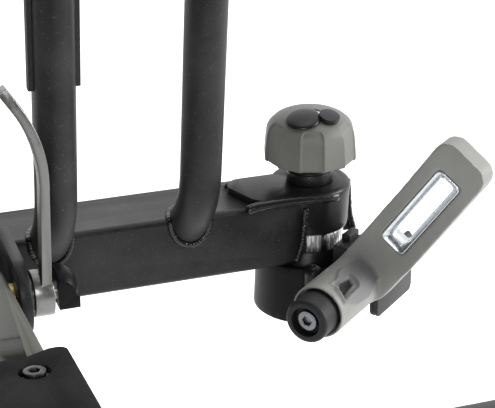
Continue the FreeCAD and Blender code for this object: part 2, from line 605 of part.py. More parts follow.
# Clamp knob
knob_prism = doc.addObject("Part::Prism", "knob_prism")
knob_prism.Polygon = 12
bind(knob_prism, "Circumradius", "knob_radius")
bind(knob_prism, "Height", "knob_tall")
put(knob_prism, at_pivot(z="knob_low"), FreeCAD.Rotation(V(0, 0, 1), size("panel_around - 15")))
knob_cone = cone("knob_cone", at_pivot(z="knob_low"), "knob_radius", "knob_top_radius", "knob_tall")
knob_ball = doc.addObject("Part::Sphere", "knob_ball")
bind(knob_ball, "Radius", "knob_dome")
put(knob_ball, at_pivot(z="knob_low + knob_tall - knob_dome"))
panels = []
for place in range(6):
    degrees = size("panel_around") + 60 * place
    turn = FreeCAD.Rotation(V(0, 0, 1), degrees)
    corner = turn.multVec(V(size("panel_radius"), -size("panel_wide") / 2, 0))
    block = box(f"panel_block_{place}", at_pivot(x=f"{corner.x:.6f}", y=f"{corner.y:.6f}",
                                                 z="knob_low - 5"), ("10", "panel_wide", "panel_tall + 5"),
                turn)
    way = turn.multVec(V(1, 0, 0))
    panels.append(rounded(f"panel_{place}", block, "panel_round",
                          lambda edge, way=way: along(way)(edge)
                          and edge.Vertexes[0].Point.z > size("arm_z + knob_low")))
knob_solid = common("knob_dome_form", common("knob_form", knob_prism, knob_cone), knob_ball)
knob_under = rod("knob_under", "Z", at_pivot(z="knob_low - 1"), "knob_top_radius - knob_skin",
                 "knob_hollow + 1")
knob_core = rod("knob_core", "Z", at_pivot(z="knob_low - 1"), "insert_radius",
                "insert_low + insert_long - knob_low + 1")
post_room = rod("knob_post_room", "Z", at_pivot(z="knob_low"), "post_thread + 0.6",
                "post_top - knob_low + 1.5")
dome_z = "knob_low + knob_tall - knob_dome"


def dome_turn(tilt, around):
    """Rotation that points Z out of the dome at one spot of it."""
    return FreeCAD.Rotation(V(0, 0, 1), size(around)).multiply(FreeCAD.Rotation(V(0, 1, 0), size(tilt)))


def dome_rod(label, place, radius, low, long):
    """Cylinder through the dome's centre, from a distance low from that centre."""
    turn = dome_turn(*place)
    way = turn.multVec(V(0, 0, 1))
    at = at_pivot(x=f"({low}) * {way.x:.9f}", y=f"({low}) * {way.y:.9f}",
                  z=f"({dome_z} + ({low}) * {way.z:.9f})")
    return rod(label, turn, at, radius, long)


def dome_ball(label, radius):
    item = doc.addObject("Part::Sphere", label)
    bind(item, "Radius", radius)
    return put(item, at_pivot(z=f"({dome_z})"))


COVER = ("cover_tilt", "cover_around")
CAP = ("cap_tilt", "cap_around")
CORE = ("core_tilt", "core_around")
core_bore = dome_rod("knob_lock_bore", CORE, "core_radius + thread_fit", "knob_dome - core_deep", "20")
cap_seat = dome_rod("knob_cap_seat", CAP, "cap_pin + thread_fit", "knob_dome - 9", "20")
node("clamp_knob", cut("knob_cut", knob_solid, [knob_under, knob_core, core_bore, post_room, cap_seat] + panels))

node("knob_insert", cut("insert_cut",
                        rod("insert_outer", "Z", at_pivot(z="insert_low"), "insert_radius", "insert_long"),
                        [rod("insert_bore", "Z", at_pivot(z="insert_low - 1"),
                             "post_thread + thread_fit", "insert_long + 2")]))
plate_top = "tube_wide / 2 + plate_thick"
collar = fuse("collar_whole", [
    rod("collar_low", "Z", at_pivot(z=f"{plate_top} + ring_gap"), "collar_radius", "collar_thick"),
    rod("collar_neck", "Z", at_pivot(z=plate_top + " + 4"), "collar_radius - 1.6", "18"),
    rod("collar_high", "Z", at_pivot(z=f"{plate_top} + collar_thick + collar_groove"),
        "collar_radius", "insert_low - 8 - tube_wide / 2 - plate_thick - collar_thick - collar_groove"),
    rod("collar_press", "Z", at_pivot(z="knob_low"), "insert_radius - 0.4", "insert_low - knob_low")])
node("knob_collar", cut("collar_cut", collar,
                        [rod("collar_bore", "Z", at_pivot(z="20"), "post_radius + thread_fit", "60")]))

core = common("core_top", dome_rod("core_rod", CORE, "core_radius", "knob_dome - core_deep", "20"),
              dome_ball("core_ball", "knob_dome - 0.8"))
core_way = dome_turn(*CORE).multVec(V(0, 0, 1)) * size("knob_dome - 2.4")
key_slot = box("key_slot", at_pivot(x=f"{core_way.x:.6f} - 0.8", y=f"{core_way.y:.6f} - 4",
                                    z=f"({dome_z} + {core_way.z:.6f})"), ("1.6", "8", "5"))
node("lock_core", cut("core_cut", core, [key_slot]))

cover_shell = cut("cover_shell", dome_ball("cover_ball", "knob_dome + cover_lift + cover_thick"),
                  [dome_ball("cover_under", "knob_dome + cover_lift")])
cover_disc = dome_rod("cover_disc", COVER, "cover_radius", "knob_dome - 8", "20")
cover_ear = dome_rod("cover_ear", CAP, "cap_radius - 1", "knob_dome - 8", "20")
ways = [dome_turn(*place).multVec(V(0, 0, 1)) for place in (COVER, CAP)]
reach = (ways[1] - ways[0]).normalize()
middle = (ways[0] + ways[1]).normalize()
bridge_turn = FreeCAD.Rotation(reach, V(), middle, "ZXY")
corner = bridge_turn.multVec(V(-11, -6, -8)) + middle * size("knob_dome")
bridge = box("cover_bridge", at_pivot(x=f"{corner.x:.6f}", y=f"{corner.y:.6f}",
                                      z=f"({dome_z} + {corner.z:.6f})"), ("22", "12", "20"), bridge_turn)
cover_form = common("cover_form", cover_shell, fuse("cover_plan", [cover_disc, cover_ear, bridge]))
node("lock_cover", cut("cover_cut", cover_form,
                       [dome_rod("cover_hole", CAP, "cap_pin + thread_fit", "knob_dome - 9", "30")]))

cap_low = "knob_dome + cover_lift + cover_thick + 0.06"
cap_form = common("cap_form", dome_rod("cap_rod", CAP, "cap_radius", "knob_dome - 5", "20"),
                  cut("cap_shell", dome_ball("cap_ball", f"{cap_low} + cap_thick"),
                      [dome_ball("cap_under", cap_low)]))
node("cover_cap", fuse("cap_whole", [cap_form,
                                     dome_rod("cap_stem", CAP, "cap_pin", "knob_dome - 8.5",
                                              "8.5 + cover_lift + cover_thick + 1")]))

# Mast


def lean_way(degrees):
    angle = math.radians(degrees)
    return V(0, -math.sin(angle), math.cos(angle))


def bent_wire(points, radii):
    """Straight runs joined by tangent arcs of the given radii."""
    edges = []
    start = points[0]
    for place in range(1, len(points) - 1):
        corner = points[place]
        back = (points[place - 1] - corner).normalize()
        ahead = (points[place + 1] - corner).normalize()
        half = back.getAngle(ahead) / 2
        trim = radii[place - 1] / math.tan(half)
        first, last = corner + back * trim, corner + ahead * trim
        middle = corner + (back + ahead).normalize() * (radii[place - 1] / math.sin(half)
                                                        - radii[place - 1])
        edges.append(Part.LineSegment(start, first).toShape())
        edges.append(Part.Arc(first, middle, last).toShape())
        start = last
    edges.append(Part.LineSegment(start, points[-1]).toShape())
    return Part.Wire(edges)


def hoop(label, leg, top, radius):
    """Solid along a hoop: feet on the arm, legs that lean, round top corners."""
    knee = size("foot_knee")
    foot = lean_way(size("foot_tilt"))
    lean = lean_way(size("lean"))
    base = V(0, size("arm_y"), size("arm_z"))
    bend = base + V(0, -knee, knee)
    low = bend - foot * (knee * math.sqrt(2) - 2)
    high = bend + lean * ((size(top) - knee) / lean.z)
    x = size(leg)
    points = [V(x, low.y, low.z), V(x, bend.y, bend.z), V(x, high.y, high.z),
              V(-x, high.y, high.z), V(-x, bend.y, bend.z), V(-x, low.y, low.z)]
    radii = [size("foot_bend"), size("top_bend"), size("top_bend"), size("foot_bend")]
    wire = bent_wire(points, radii)
    face = Part.Face(Part.Wire(Part.Circle(points[0], foot, radius).toShape()))
    item = doc.addObject("Part::Feature", label)
    item.Shape = wire.makePipe(face)
    return item


arm_zone = rounded("hoop_arm_zone",
                   box("hoop_arm_block", ("arm_left", "arm_y - tube_wide / 2", "arm_z - tube_wide / 2"),
                       ("pivot_x - arm_left", "tube_wide", "tube_wide")), "tube_round",
                   along(V(1, 0, 0)))
for label, leg, top in (("outer_hoop", "outer_leg", "outer_top"), ("inner_hoop", "inner_leg", "inner_top")):
    whole = hoop(label + "_skin", leg, top, size("hoop_radius"))
    hollow = hoop(label + "_hollow", leg, top, size("hoop_radius - hoop_wall"))
    node(label, cut(label + "_cut", whole, [hollow, arm_zone]))


def leg_rod(label, x, start, stop, radius):
    """Cylinder on a leg's centre line, between two distances along the lean from its knee."""
    lean = lean_way(size("lean"))
    turn = FreeCAD.Rotation(V(1, 0, 0), size("lean"))
    return rod(label, turn, (x, f"arm_y - foot_knee + ({start}) * {lean.y:.9f}",
                             f"arm_z + foot_knee + ({start}) * {lean.z:.9f}"), radius,
               f"({stop}) - ({start})")


def crosspiece(label, left, right):
    lean = lean_way(size("lean"))
    bar = rod(label + "_bar", "X", (left, f"arm_y - foot_knee + cross_height * {lean.y:.9f}",
                                    f"arm_z + foot_knee + cross_height * {lean.z:.9f}"),
              "cross_radius", f"({right}) - ({left})")
    zones = [leg_rod(label + "_zone_low", left, "cross_height - 40", "cross_height + 40", "hoop_radius"),
             leg_rod(label + "_zone_high", right, "cross_height - 40", "cross_height + 40",
                     "hoop_radius")]
    return cut(label, bar, zones)


node("crosspieces", crosspiece("cross_right", "inner_leg", "outer_leg"),
     crosspiece("cross_left_bar", "-outer_leg", "-inner_leg"),
     crosspiece("cross_middle", "-inner_leg", "inner_leg"))


def pad(label, x):
    sleeve = leg_rod(label + "_outer", x, "pad_low - foot_knee", "pad_high - foot_knee",
                     "hoop_radius + pad_thick")
    bore = leg_rod(label + "_bore", x, "pad_low - foot_knee - 5", "pad_high - foot_knee + 5",
                   "hoop_radius")
    turn = FreeCAD.Rotation(V(1, 0, 0), size("lean"))
    front = box(label + "_front", (f"{x} - 40", "arm_y - foot_knee - 54", "arm_z + foot_knee - 30"),
                ("80", "54", "700"), turn)
    return cut(label, sleeve, [bore, front])


node("bumper_pads", pad("pad_left", "-inner_leg"), pad("pad_right", "inner_leg"))

# Fold bracket and its clamp
fold = ("fold_y", "fold_z")


def cheek(label, left):
    bar = box(label + "_bar", (left, "arm_y + fold_y", "arm_z + fold_z - nose_radius"),
              ("cheek_out - cheek_in", "-tube_wide / 2 - fold_y", "nose_radius * 2"))
    nose = rod(label + "_nose", "X", (left, "arm_y + fold_y", "arm_z + fold_z"), "nose_radius",
               "cheek_out - cheek_in")
    return [bar, nose]


bracket_plate = box("bracket_plate", ("-cheek_out", "arm_y - tube_wide / 2 - bracket_thick",
                                      "arm_z + bracket_low"),
                    ("2 * cheek_out", "bracket_thick", "bracket_top - bracket_low"))
bracket = fuse("bracket_whole", cheek("cheek_left", "-cheek_out") + cheek("cheek_right", "cheek_in")
               + [bracket_plate])
above_arm = box("bracket_trim", ("-cheek_out - 1", "arm_y - tube_wide / 2", "arm_z"),
                ("2 * cheek_out + 2", "40", "80"))
rod_bore = rod("bracket_bore", "X", ("-cheek_out - 1", "arm_y + fold_y", "arm_z + fold_z"), "rod_radius",
               "2 * cheek_out + 2")
node("fold_bracket", cut("bracket_cut", bracket, [rod_bore, above_arm]))

node("fold_rod", rod("fold_rod_bar", "X", ("rod_left", "arm_y + fold_y", "arm_z + fold_z"), "rod_radius",
                     "rod_right - rod_left"))


def fold_disc(label, left, radius, length):
    return rod(label, "X", (left, "arm_y + fold_y", "arm_z + fold_z"), radius, length)


def fold_ring(label, left, radius, length, bore):
    return cut(label, fold_disc(label + "_outer", left, radius, length),
               [fold_disc(label + "_bore", f"{left} - 1", bore, f"{length} + 2")])


hexagon = doc.addObject("Part::Prism", "rod_nut_hexagon")
hexagon.Polygon = 6
bind(hexagon, "Circumradius", "nut_radius")
bind(hexagon, "Height", "nut_thick + 2")
put(hexagon, ("-cheek_out - 2 - nut_thick - 2", "arm_y + fold_y", "arm_z + fold_z"), TURNS["X"])
washer = fold_disc("rod_nut_washer", "-cheek_out - 2", "nut_radius + 1.5", "2")
node("rod_nut", cut("rod_nut_cut", fuse("rod_nut_whole", [hexagon, washer]),
                    [fold_disc("rod_nut_bore", "-cheek_out - 20", "rod_radius", "40")]))

node("clamp_nut", fold_ring("clamp_nut_ring", "cheek_out", "clamp_bore - hub_fit",
                            "clamp_right - cheek_out", "rod_radius"))

ring = fold_ring("clamp_ring", "clamp_left", "clamp_radius", "clamp_right - clamp_left", "clamp_bore")
BLADE = [(58.0, 22.0), (61.6, 121.5), (37.7, 158.3), (43.0, 161.7), (67.9, 123.5), (64.9, 22.0)]
blade = sketch_body("clamp_blade", "XZ_Plane", [(str(x), f"arm_z + {z}") for x, z in BLADE],
                    ("blade_bend", (1, 4)), "0", "blade_wide", at=("0", "arm_y + blade_back", "0"))
blade_room = fold_disc("clamp_blade_room", "clamp_left - 5", "clamp_bore + 1", "40")
node("clamp_lever", fuse("clamp_whole", [ring, cut("clamp_blade_cut", blade, [blade_room])]))

# The stop on the rod's right end: rounded over the top and to the right, flat below
head = rounded("head_round", fold_disc("head_disc", "head_left", "head_radius", "head_right - head_left"),
               "head_bend", lambda edge: edge.Vertexes[0].Point.x > size("head_right - 1"))
head = common("head_form", head, box("head_block", ("head_left", "arm_y + head_front", "arm_z + head_low"),
                                     ("head_right - head_left", "head_back - head_front", "40")))
head = fuse("head_whole", [head, box("head_foot", ("head_left", "arm_y + head_front", "arm_z + head_low"),
                                     ("head_right - head_left", "12", "8.5"))])
head = cut("head_cut", head, [fold_disc("head_bore", "head_left - 1", "rod_radius",
                                        "rod_right - head_left + 1")])
node("clamp_head", head)
doc.recompute()

# Platform: x across, s forwards from the fold rod, t up from it
deck_turn = FreeCAD.Rotation(V(1, 0, 0), -size("tilt"))
forward = deck_turn.multVec(V(0, -1, 0))
upward = deck_turn.multVec(V(0, 0, 1))


def deck(x, s, t):
    return (f"({x})", f"(arm_y + fold_y + ({s}) * {forward.y:.9f} + ({t}) * {upward.y:.9f})",
            f"(arm_z + fold_z + ({s}) * {forward.z:.9f} + ({t}) * {upward.z:.9f})")


def deck_box(label, at, sides):
    return box(label, deck(at[0], f"{at[1]} + ({sides[1]})", at[2]), sides, deck_turn)


def deck_rod(label, axis, at, radius, length):
    """Cylinder from a point: along +x for X, backwards in s for Y, up for Z."""
    return rod(label, deck_turn.multiply(TURNS[axis]), deck(*at), radius, length)


def deck_body(label, points, corners, start, depth):
    """Outline in (s, t) carried along x."""
    outline = [(f"-({s})", t) for s, t in points]
    return sketch_body(label, "YZ_Plane", outline, corners, start, depth, turn=deck_turn,
                       at=deck("0", "0", "0"))


deck_along = along(forward)
spine_long = "spine_end - spine_back"
spine_block = rounded("spine_round", deck_box("spine_block", ("-spine_wide / 2", "spine_back", "spine_low"),
                                              ("spine_wide", spine_long, "spine_top - spine_low")),
                      "spine_round_r", deck_along)
spine_inside = deck_box("spine_inside", ("-spine_wide / 2 + spine_wall", "spine_back - 1",
                                         "spine_low + spine_wall"),
                        ("spine_wide - 2 * spine_wall", f"{spine_long} + 2",
                         "spine_top - spine_low - 2 * spine_wall"))
bush_room = deck_rod("spine_bush_room", "X", ("-60", "0", "0"), "bush_out", "120")
RAIL_BOLTS = [(sign, spot) for spot in ("rail_bolt_first", "rail_bolt_next", "spine_end - rail_bolt_inset")
              for sign in (-1, 1)]
TRAYS = (("inner", "spine_end - tray_inset - tray_step"), ("outer", "spine_end - tray_inset"))
TRAY_BOLTS = [(sign, spot) for name, spot in TRAYS for sign in (-1, 1)]


def holes(label, x, spots, low, radius, long):
    return [deck_rod(f"{label}_{place}", "Z", (f"{sign} * {x}", spot, low), radius, long)
            for place, (sign, spot) in enumerate(spots)]


deep = "cover_top - bolt_long"
node("spine", cut("spine_cut", spine_block,
                  [spine_inside, bush_room]
                  + holes("spine_hole", "rail_bolt_x", RAIL_BOLTS, deep, "bolt_shank", "40")
                  + holes("spine_tray_hole", "tray_bolt_x", TRAY_BOLTS, deep, "bolt_shank", "60")))
node("spine_bush", cut("bush_cut", deck_rod("bush_outer", "X", ("-bush_side", "0", "0"), "bush_out",
                                            "2 * bush_side"),
                       [deck_rod("bush_bore", "X", ("-60", "0", "0"), "rod_radius + rod_fit", "120")]))
cover_block = rounded("cover_round", deck_box("cover_block", ("-cover_wide / 2", "spine_back + 1",
                                                             "cover_skirt"),
                                              ("cover_wide", f"{spine_long} - 1", "cover_top - cover_skirt")),
                      "cover_round_r",
                      lambda edge: deck_along(edge) and edge.Vertexes[0].Point.sub(
                          V(0, size("arm_y + fold_y"), size("arm_z + fold_z"))).dot(upward) > 0)
node("spine_cover", cut("cover_slim", cover_block,
                        [deck_box("cover_inside", ("-spine_wide / 2", "spine_back - 5", "-60"),
                                  ("spine_wide", f"{spine_long} + 10", "60 + spine_top")),
                         deck_rod("cover_bush_room", "X", ("-60", "0", "0"), "bush_out + 0.5", "120")]
                        + holes("cover_bolt_hole", "rail_bolt_x", RAIL_BOLTS, deep, "bolt_shank", "60")
                        + holes("cover_tray_hole", "tray_bolt_x", TRAY_BOLTS, deep, "bolt_shank", "60")))
cap_face = deck_box("end_cap_face", ("-cover_wide / 2", "spine_end", "spine_low"),
                    ("cover_wide", "cap_plate", "cover_top - spine_low"))
cap_stem = deck_box("end_cap_stem", ("-spine_wide / 2 + spine_wall + plug_gap", "spine_end - plug_deep",
                                     "spine_low + spine_wall + plug_gap"),
                    ("spine_wide - 2 * spine_wall - 2 * plug_gap", "plug_deep",
                     "spine_top - spine_low - 2 * spine_wall - 2 * plug_gap"))
node("spine_cap", fuse("end_cap_whole", [rounded("end_cap_round", cap_face, "cover_round_r", deck_along),
                                         cap_stem]))

RAIL = [("-rail_half", "rail_back"), ("-rail_half + 11", "rail_back + 1"),
        ("-rail_half + 25", "rail_back + rail_notch"), ("rail_half - 25", "rail_back + rail_notch"),
        ("rail_half - 11", "rail_back + 1"), ("rail_half", "rail_back"), ("rail_half", "spine_end"),
        ("-rail_half", "spine_end")]
rail = sketch_body("rail_plate", "XY_Plane", [(x, f"-({s})") for x, s in RAIL], ("rail_corner", [0, 5, 6, 7]),
                   "cover_top", "rail_thick", turn=deck_turn, at=deck("0", "0", "0"))
node("top_rail", cut("rail_cut", rail,
                     holes("rail_dimple", "rail_bolt_x", RAIL_BOLTS, "cover_top - 1", "dimple_radius", "20")
                     + holes("rail_tray_hole", "tray_bolt_x", TRAY_BOLTS, "0", "bolt_shank", "60")))


def bolt(label, sign, x, s, seat, long):
    """Socket bolt that stands on a seat and reaches down by long."""
    head = deck_rod(label + "_head", "Z", (f"{sign} * {x}", s, seat), "bolt_head", "bolt_tall")
    stem = deck_rod(label + "_stem", "Z", (f"{sign} * {x}", s, f"{seat} - ({long})"), "bolt_shank", long)
    key = doc.addObject("Part::Prism", label + "_key")
    key.Polygon = 6
    bind(key, "Circumradius", "bolt_socket")
    bind(key, "Height", "4")
    put(key, deck(f"{sign} * {x}", s, f"{seat} + 2"), deck_turn)
    return cut(label, fuse(label + "_solid", [head, stem]), [key])


node("rail_bolts", *[bolt(f"rail_bolt_{place}", sign, "rail_bolt_x", spot, "cover_top", "bolt_long")
                     for place, (sign, spot) in enumerate(RAIL_BOLTS)])
tray_seat = "cover_top + rail_thick"
node("tray_bolts", *[bolt(f"tray_bolt_{place}", sign, "tray_bolt_x", spot, f"{tray_seat} + tray_floor",
                          "bolt_long + tray_floor + rail_thick")
                     for place, (sign, spot) in enumerate(TRAY_BOLTS)])

OUTER_SIDE = [(23.0, 0.0), (43.0, 19.0), (45.5, 36.0), (52.0, 36.0)]
INNER_SIDE = [(52.0, 39.0), (43.0, 39.0), (40.5, 20.5), (21.8, 3.0)]


def profile(middle, half_outline):
    right = [(f"{middle} + {s}", f"{tray_seat} + {t}") for s, t in half_outline]
    left = [(f"{middle} - {s}", f"{tray_seat} + {t}") for s, t in reversed(half_outline)]
    return right + left


caps = []
for name, spot in TRAYS:
    body = deck_body(f"{name}_trough", profile(spot, OUTER_SIDE + INNER_SIDE), None, "-tray_half",
                     "2 * tray_half")
    node(f"{name}_tray", cut(f"{name}_tray_cut", body,
                             holes(f"{name}_tray_hole", "tray_bolt_x",
                                   [item for item in TRAY_BOLTS if item[1] == spot],
                                   "0", "bolt_shank", "60")))
    for place, start in enumerate(("-tray_half - cap_plate", "tray_half")):
        caps.append(deck_body(f"{name}_cap_{place}", profile(spot, OUTER_SIDE + [INNER_SIDE[0]]), None,
                              start, "cap_plate"))
node("tray_caps", *caps)

lip_top = f"{tray_seat} + tray_tall"
hinge_t = f"{lip_top} + slider_fit + slider_thick + hook_lift"
for name, spot in TRAYS:
    edge = "tray_edge + slider_fit"
    plate = deck_box(f"{name}_slider_plate", ("hook_x - slider_half", f"{spot} - ({edge}) - 4",
                                             f"{lip_top} + slider_fit"),
                     ("2 * slider_half", f"2 * ({edge}) + 8", "slider_thick"))
    sides = [deck_box(f"{name}_slider_side_{place}", ("hook_x - slider_half", start,
                                                      f"{lip_top} - 3 - 2 * slider_fit - 3"),
                      ("2 * slider_half", "4", "8"))
             for place, start in enumerate((f"{spot} - ({edge}) - 4", f"{spot} + {edge}"))]
    claws = [deck_box(f"{name}_slider_claw_{place}", ("hook_x - slider_half", start,
                                                      f"{lip_top} - 3 - slider_fit - 3"),
                      ("2 * slider_half", "8", "3"))
             for place, start in enumerate((f"{spot} - ({edge}) - 4", f"{spot} + {edge} - 4"))]
    ears = []
    for place, start in enumerate((f"{spot} - eye_half - slider_fit - ear_thick",
                                   f"{spot} + eye_half + slider_fit")):
        ears.append(deck_box(f"{name}_ear_{place}", ("hook_x - eye_radius", start, lip_top + " + 2"),
                             ("2 * eye_radius", "ear_thick", "slider_thick + hook_lift")))
        ears.append(deck_rod(f"{name}_ear_top_{place}", "Y", ("hook_x", f"{start} + ear_thick", hinge_t),
                             "eye_radius", "ear_thick"))
    pin = deck_rod(f"{name}_hook_pin", "Y", ("hook_x", f"{spot} + eye_half + ear_thick", hinge_t),
                   "hook_pin", "2 * eye_half + 2 * ear_thick")
    node(f"{name}_slider", fuse(f"{name}_slider_whole", [plate, pin] + sides + claws + ears))

    bend_angle = math.radians(size("hook_lean"))
    rise = V(-math.sin(bend_angle), 0, math.cos(bend_angle))
    inward = V(-math.cos(bend_angle), 0, -math.sin(bend_angle))
    start = rise * (size("eye_radius") - 3)
    top = rise * size("hook_long")
    tip = top + inward * size("hook_over")
    wire = bent_wire([start, top, tip, tip - rise * 60], [size("hook_bend"), size("hook_bend")])
    end = Part.Face(Part.Wire(Part.Circle(start, rise, size("hook_radius")).toShape()))
    bar = doc.addObject("Part::Feature", f"{name}_hook_bar")
    bar.Shape = wire.makePipe(end)
    put(bar, deck("hook_x", spot, hinge_t), deck_turn)
    eye = deck_rod(f"{name}_hook_eye", "Y", ("hook_x", f"{spot} + eye_half", hinge_t), "eye_radius",
                   "2 * eye_half")
    eye_bore = deck_rod(f"{name}_eye_bore", "Y", ("hook_x", f"{spot} + eye_half + 1", hinge_t),
                        "hook_pin + rod_fit", "2 * eye_half + 2")
    node(f"{name}_hook", cut(f"{name}_hook_cut", fuse(f"{name}_hook_whole", [bar, eye]), [eye_bore]))

    outer_band = deck_rod(f"{name}_band_outer", "X", ("strap_x", spot, lip_top), "strap_radius",
                          "strap_wide")
    band_room = [deck_rod(f"{name}_band_inner", "X", ("strap_x - 1", spot, lip_top),
                          "strap_radius - strap_thick", "strap_wide + 2"),
                 deck_box(f"{name}_band_below", ("strap_x - 1", f"{spot} - 80", f"{lip_top} - 80"),
                          ("strap_wide + 2", "160", "80"))]
    node(f"{name}_strap", cut(f"{name}_strap_cut", outer_band, band_room))
    pin_s = f"{spot} + strap_radius + buckle_out"
    base = [deck_box(f"{name}_buckle_base_{place}", (x, f"{spot} + tray_edge + 0.3", f"{lip_top} - 6"),
                     ("3", "17", "12")) for place, x in enumerate(("strap_x", "strap_x + strap_wide - 3"))]
    base.append(deck_box(f"{name}_buckle_foot", ("strap_x", f"{spot} + tray_edge + 0.3", f"{lip_top} - 6"),
                         ("strap_wide", "3", "6")))
    base.append(deck_rod(f"{name}_buckle_pin", "X", ("strap_x", pin_s, f"{lip_top} + 2"), "buckle_pin",
                         "strap_wide"))
    node(f"{name}_buckle_base", fuse(f"{name}_buckle_base_all", base))
    drum = deck_rod(f"{name}_buckle_drum", "X", ("strap_x + 3.2", pin_s, f"{lip_top} + 2"),
                    "buckle_pin + 3", "strap_wide - 6.4")
    flap = deck_box(f"{name}_buckle_flap", ("strap_x + 3.2", f"{pin_s} + 1", f"{lip_top} + 4"),
                    ("strap_wide - 6.4", "4", "buckle_long"))
    drum_bore = deck_rod(f"{name}_buckle_bore", "X", ("strap_x", pin_s, f"{lip_top} + 2"),
                         "buckle_pin + rod_fit", "strap_wide")
    node(f"{name}_buckle", cut(f"{name}_buckle_cut", fuse(f"{name}_buckle_whole", [drum, flap]),
                               [drum_bore]))

# Checks and export
doc.recompute()
for item in doc.Objects:
    if "Invalid" in item.State or "Error" in item.State:
        raise RuntimeError(f"{item.Label} did not build")
os.makedirs("parts", exist_ok=True)
for label, item in nodes.items():
    if item.Shape.isNull() or not item.Shape.isValid() or not item.Shape.Solids:
        raise RuntimeError(f"{label} is not a valid solid")
    item.Shape.exportStep(f"parts/{label}.step")
print(len(nodes), "parts")
for label, item in nodes.items():
    print(label, len(item.Shape.Solids), round(item.Shape.Volume))
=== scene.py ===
import json
import math

import bmesh
import bpy
import numpy as np
from bpy.props import FloatProperty, FloatVectorProperty, IntProperty, PointerProperty
from mathutils import Matrix, Vector


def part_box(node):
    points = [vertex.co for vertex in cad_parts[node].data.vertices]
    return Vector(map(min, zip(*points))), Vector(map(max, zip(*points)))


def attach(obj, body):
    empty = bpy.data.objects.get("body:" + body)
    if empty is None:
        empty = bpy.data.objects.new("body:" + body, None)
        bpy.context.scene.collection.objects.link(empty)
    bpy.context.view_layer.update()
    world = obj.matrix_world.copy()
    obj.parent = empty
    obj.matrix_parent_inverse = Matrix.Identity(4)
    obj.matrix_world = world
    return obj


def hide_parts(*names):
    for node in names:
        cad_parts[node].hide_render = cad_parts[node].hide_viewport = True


bl_info = {
    "name": "Hitch Bike Carrier",
    "version": (1, 0, 0),
    "blender": (4, 5, 0),
    "location": "View3D > Sidebar > Carrier",
    "description": "Looks for a swing-away hitch bike carrier",
    "category": "Add Mesh",
}

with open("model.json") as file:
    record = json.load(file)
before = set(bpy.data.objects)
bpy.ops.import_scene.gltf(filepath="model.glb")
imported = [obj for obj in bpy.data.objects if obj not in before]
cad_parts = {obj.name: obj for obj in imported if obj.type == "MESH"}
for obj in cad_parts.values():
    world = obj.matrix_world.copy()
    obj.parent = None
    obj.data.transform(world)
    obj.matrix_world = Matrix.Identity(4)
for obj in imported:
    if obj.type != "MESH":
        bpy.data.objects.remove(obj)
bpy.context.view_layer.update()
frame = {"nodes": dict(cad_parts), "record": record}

# Millimetres are used for the sizes below; the scene is in metres
MM = 0.001
PIVOT = Vector((0.280, -0.2608, 0.037))
# The latch, its hub and the handle stand turned about the pivot by this
HUB_TURN = math.radians(-50)
HUB = Vector((58.0, 0.0, -23.0))


def at_pivot(x, y, z):
    """A point in the row frame from millimetres off the arm's pivot."""
    return PIVOT + Vector((x, y, z)) * MM


def at_hub(x, y, z):
    """A point from millimetres in the hub's frame: x out to the hub, y away from the handle."""
    return PIVOT + Matrix.Rotation(HUB_TURN, 3, "Z") @ (Vector((x, y, z)) * MM)


def feed(tree, socket, value):
    """Link a socket to another, or give it a plain value."""
    value = getattr(value, "socket", value)
    if isinstance(value, bpy.types.NodeSocket):
        tree.links.new(value, socket)
    else:
        socket.default_value = value


def add_node(tree, kind, settings=None, **inputs):
    """Add a node, make its settings, and feed its inputs by name, or by place as _0, _1 and so on."""
    node = tree.nodes.new(kind)
    for name, value in (settings or {}).items():
        setattr(node, name, value)
    for name, value in inputs.items():
        feed(tree, node.inputs[int(name[1:]) if name[0] == "_" else name.replace("_", " ")], value)
    return node


class Wire:
    """A shader socket that takes part in sums and products."""

    def __init__(self, sheet, socket):
        self.sheet = sheet
        self.socket = socket

    def __add__(self, other):
        return self.sheet.maths("ADD", self, other)

    def __sub__(self, other):
        return self.sheet.maths("SUBTRACT", self, other)

    def __mul__(self, other):
        return self.sheet.maths("MULTIPLY", self, other)

    def __rsub__(self, other):
        return self.sheet.maths("SUBTRACT", other, self)

    __radd__ = __add__
    __rmul__ = __mul__

    def ramp(self, low, high, start=0.0, end=1.0):
        """Smooth step from start to end as the value goes from low to high."""
        return self.sheet.node("ShaderNodeMapRange", {"interpolation_type": "SMOOTHSTEP"}, Value=self,
                               From_Min=low, From_Max=high, To_Min=start, To_Max=end)


class Sheet:
    """A material's node tree, with short calls for the nodes used here."""

    def __init__(self, name):
        self.material = bpy.data.materials.new(name)
        self.material.use_nodes = True
        self.tree = self.material.node_tree
        self.shader = self.tree.nodes["Principled BSDF"]
        self.place = self.node("ShaderNodeTexCoord", out="Object")

    def node(self, kind, settings=None, out=0, **inputs):
        return Wire(self, add_node(self.tree, kind, settings, **inputs).outputs[out])

    def maths(self, operation, first, second):
        return self.node("ShaderNodeMath", {"operation": operation}, _0=first, _1=second)

    def stretched(self, scale):
        """Object coordinates, drawn out where a part of the scale is small."""
        return self.node("ShaderNodeMapping", Vector=self.place, Scale=scale)

    def noise(self, scale, detail=3.0, rough=0.5, place=None):
        return self.node("ShaderNodeTexNoise", Vector=place or self.place, Scale=scale, Detail=detail,
                         Roughness=rough)

    def tone(self, name):
        """A number stored on the mesh, point by point."""
        return self.node("ShaderNodeAttribute", {"attribute_name": name}, out="Fac")

    def blend(self, amount, first, second):
        """From the first colour to the second as the amount goes from 0 to 1."""
        first, second = (value if isinstance(value, Wire) else (*value, 1.0) for value in (first, second))
        return self.node("ShaderNodeMix", {"data_type": "RGBA"}, out=2, _0=amount, _6=first, _7=second)

    def bump(self, height, distance):
        feed(self.tree, self.shader.inputs["Normal"],
             self.node("ShaderNodeBump", Distance=distance, Height=height))

    def set(self, **values):
        """Feed the material's shader and return the material."""
        for name, value in values.items():
            feed(self.tree, self.shader.inputs[name.replace("_", " ")],
                 (*value, 1.0) if isinstance(value, tuple) else value)
        return self.material


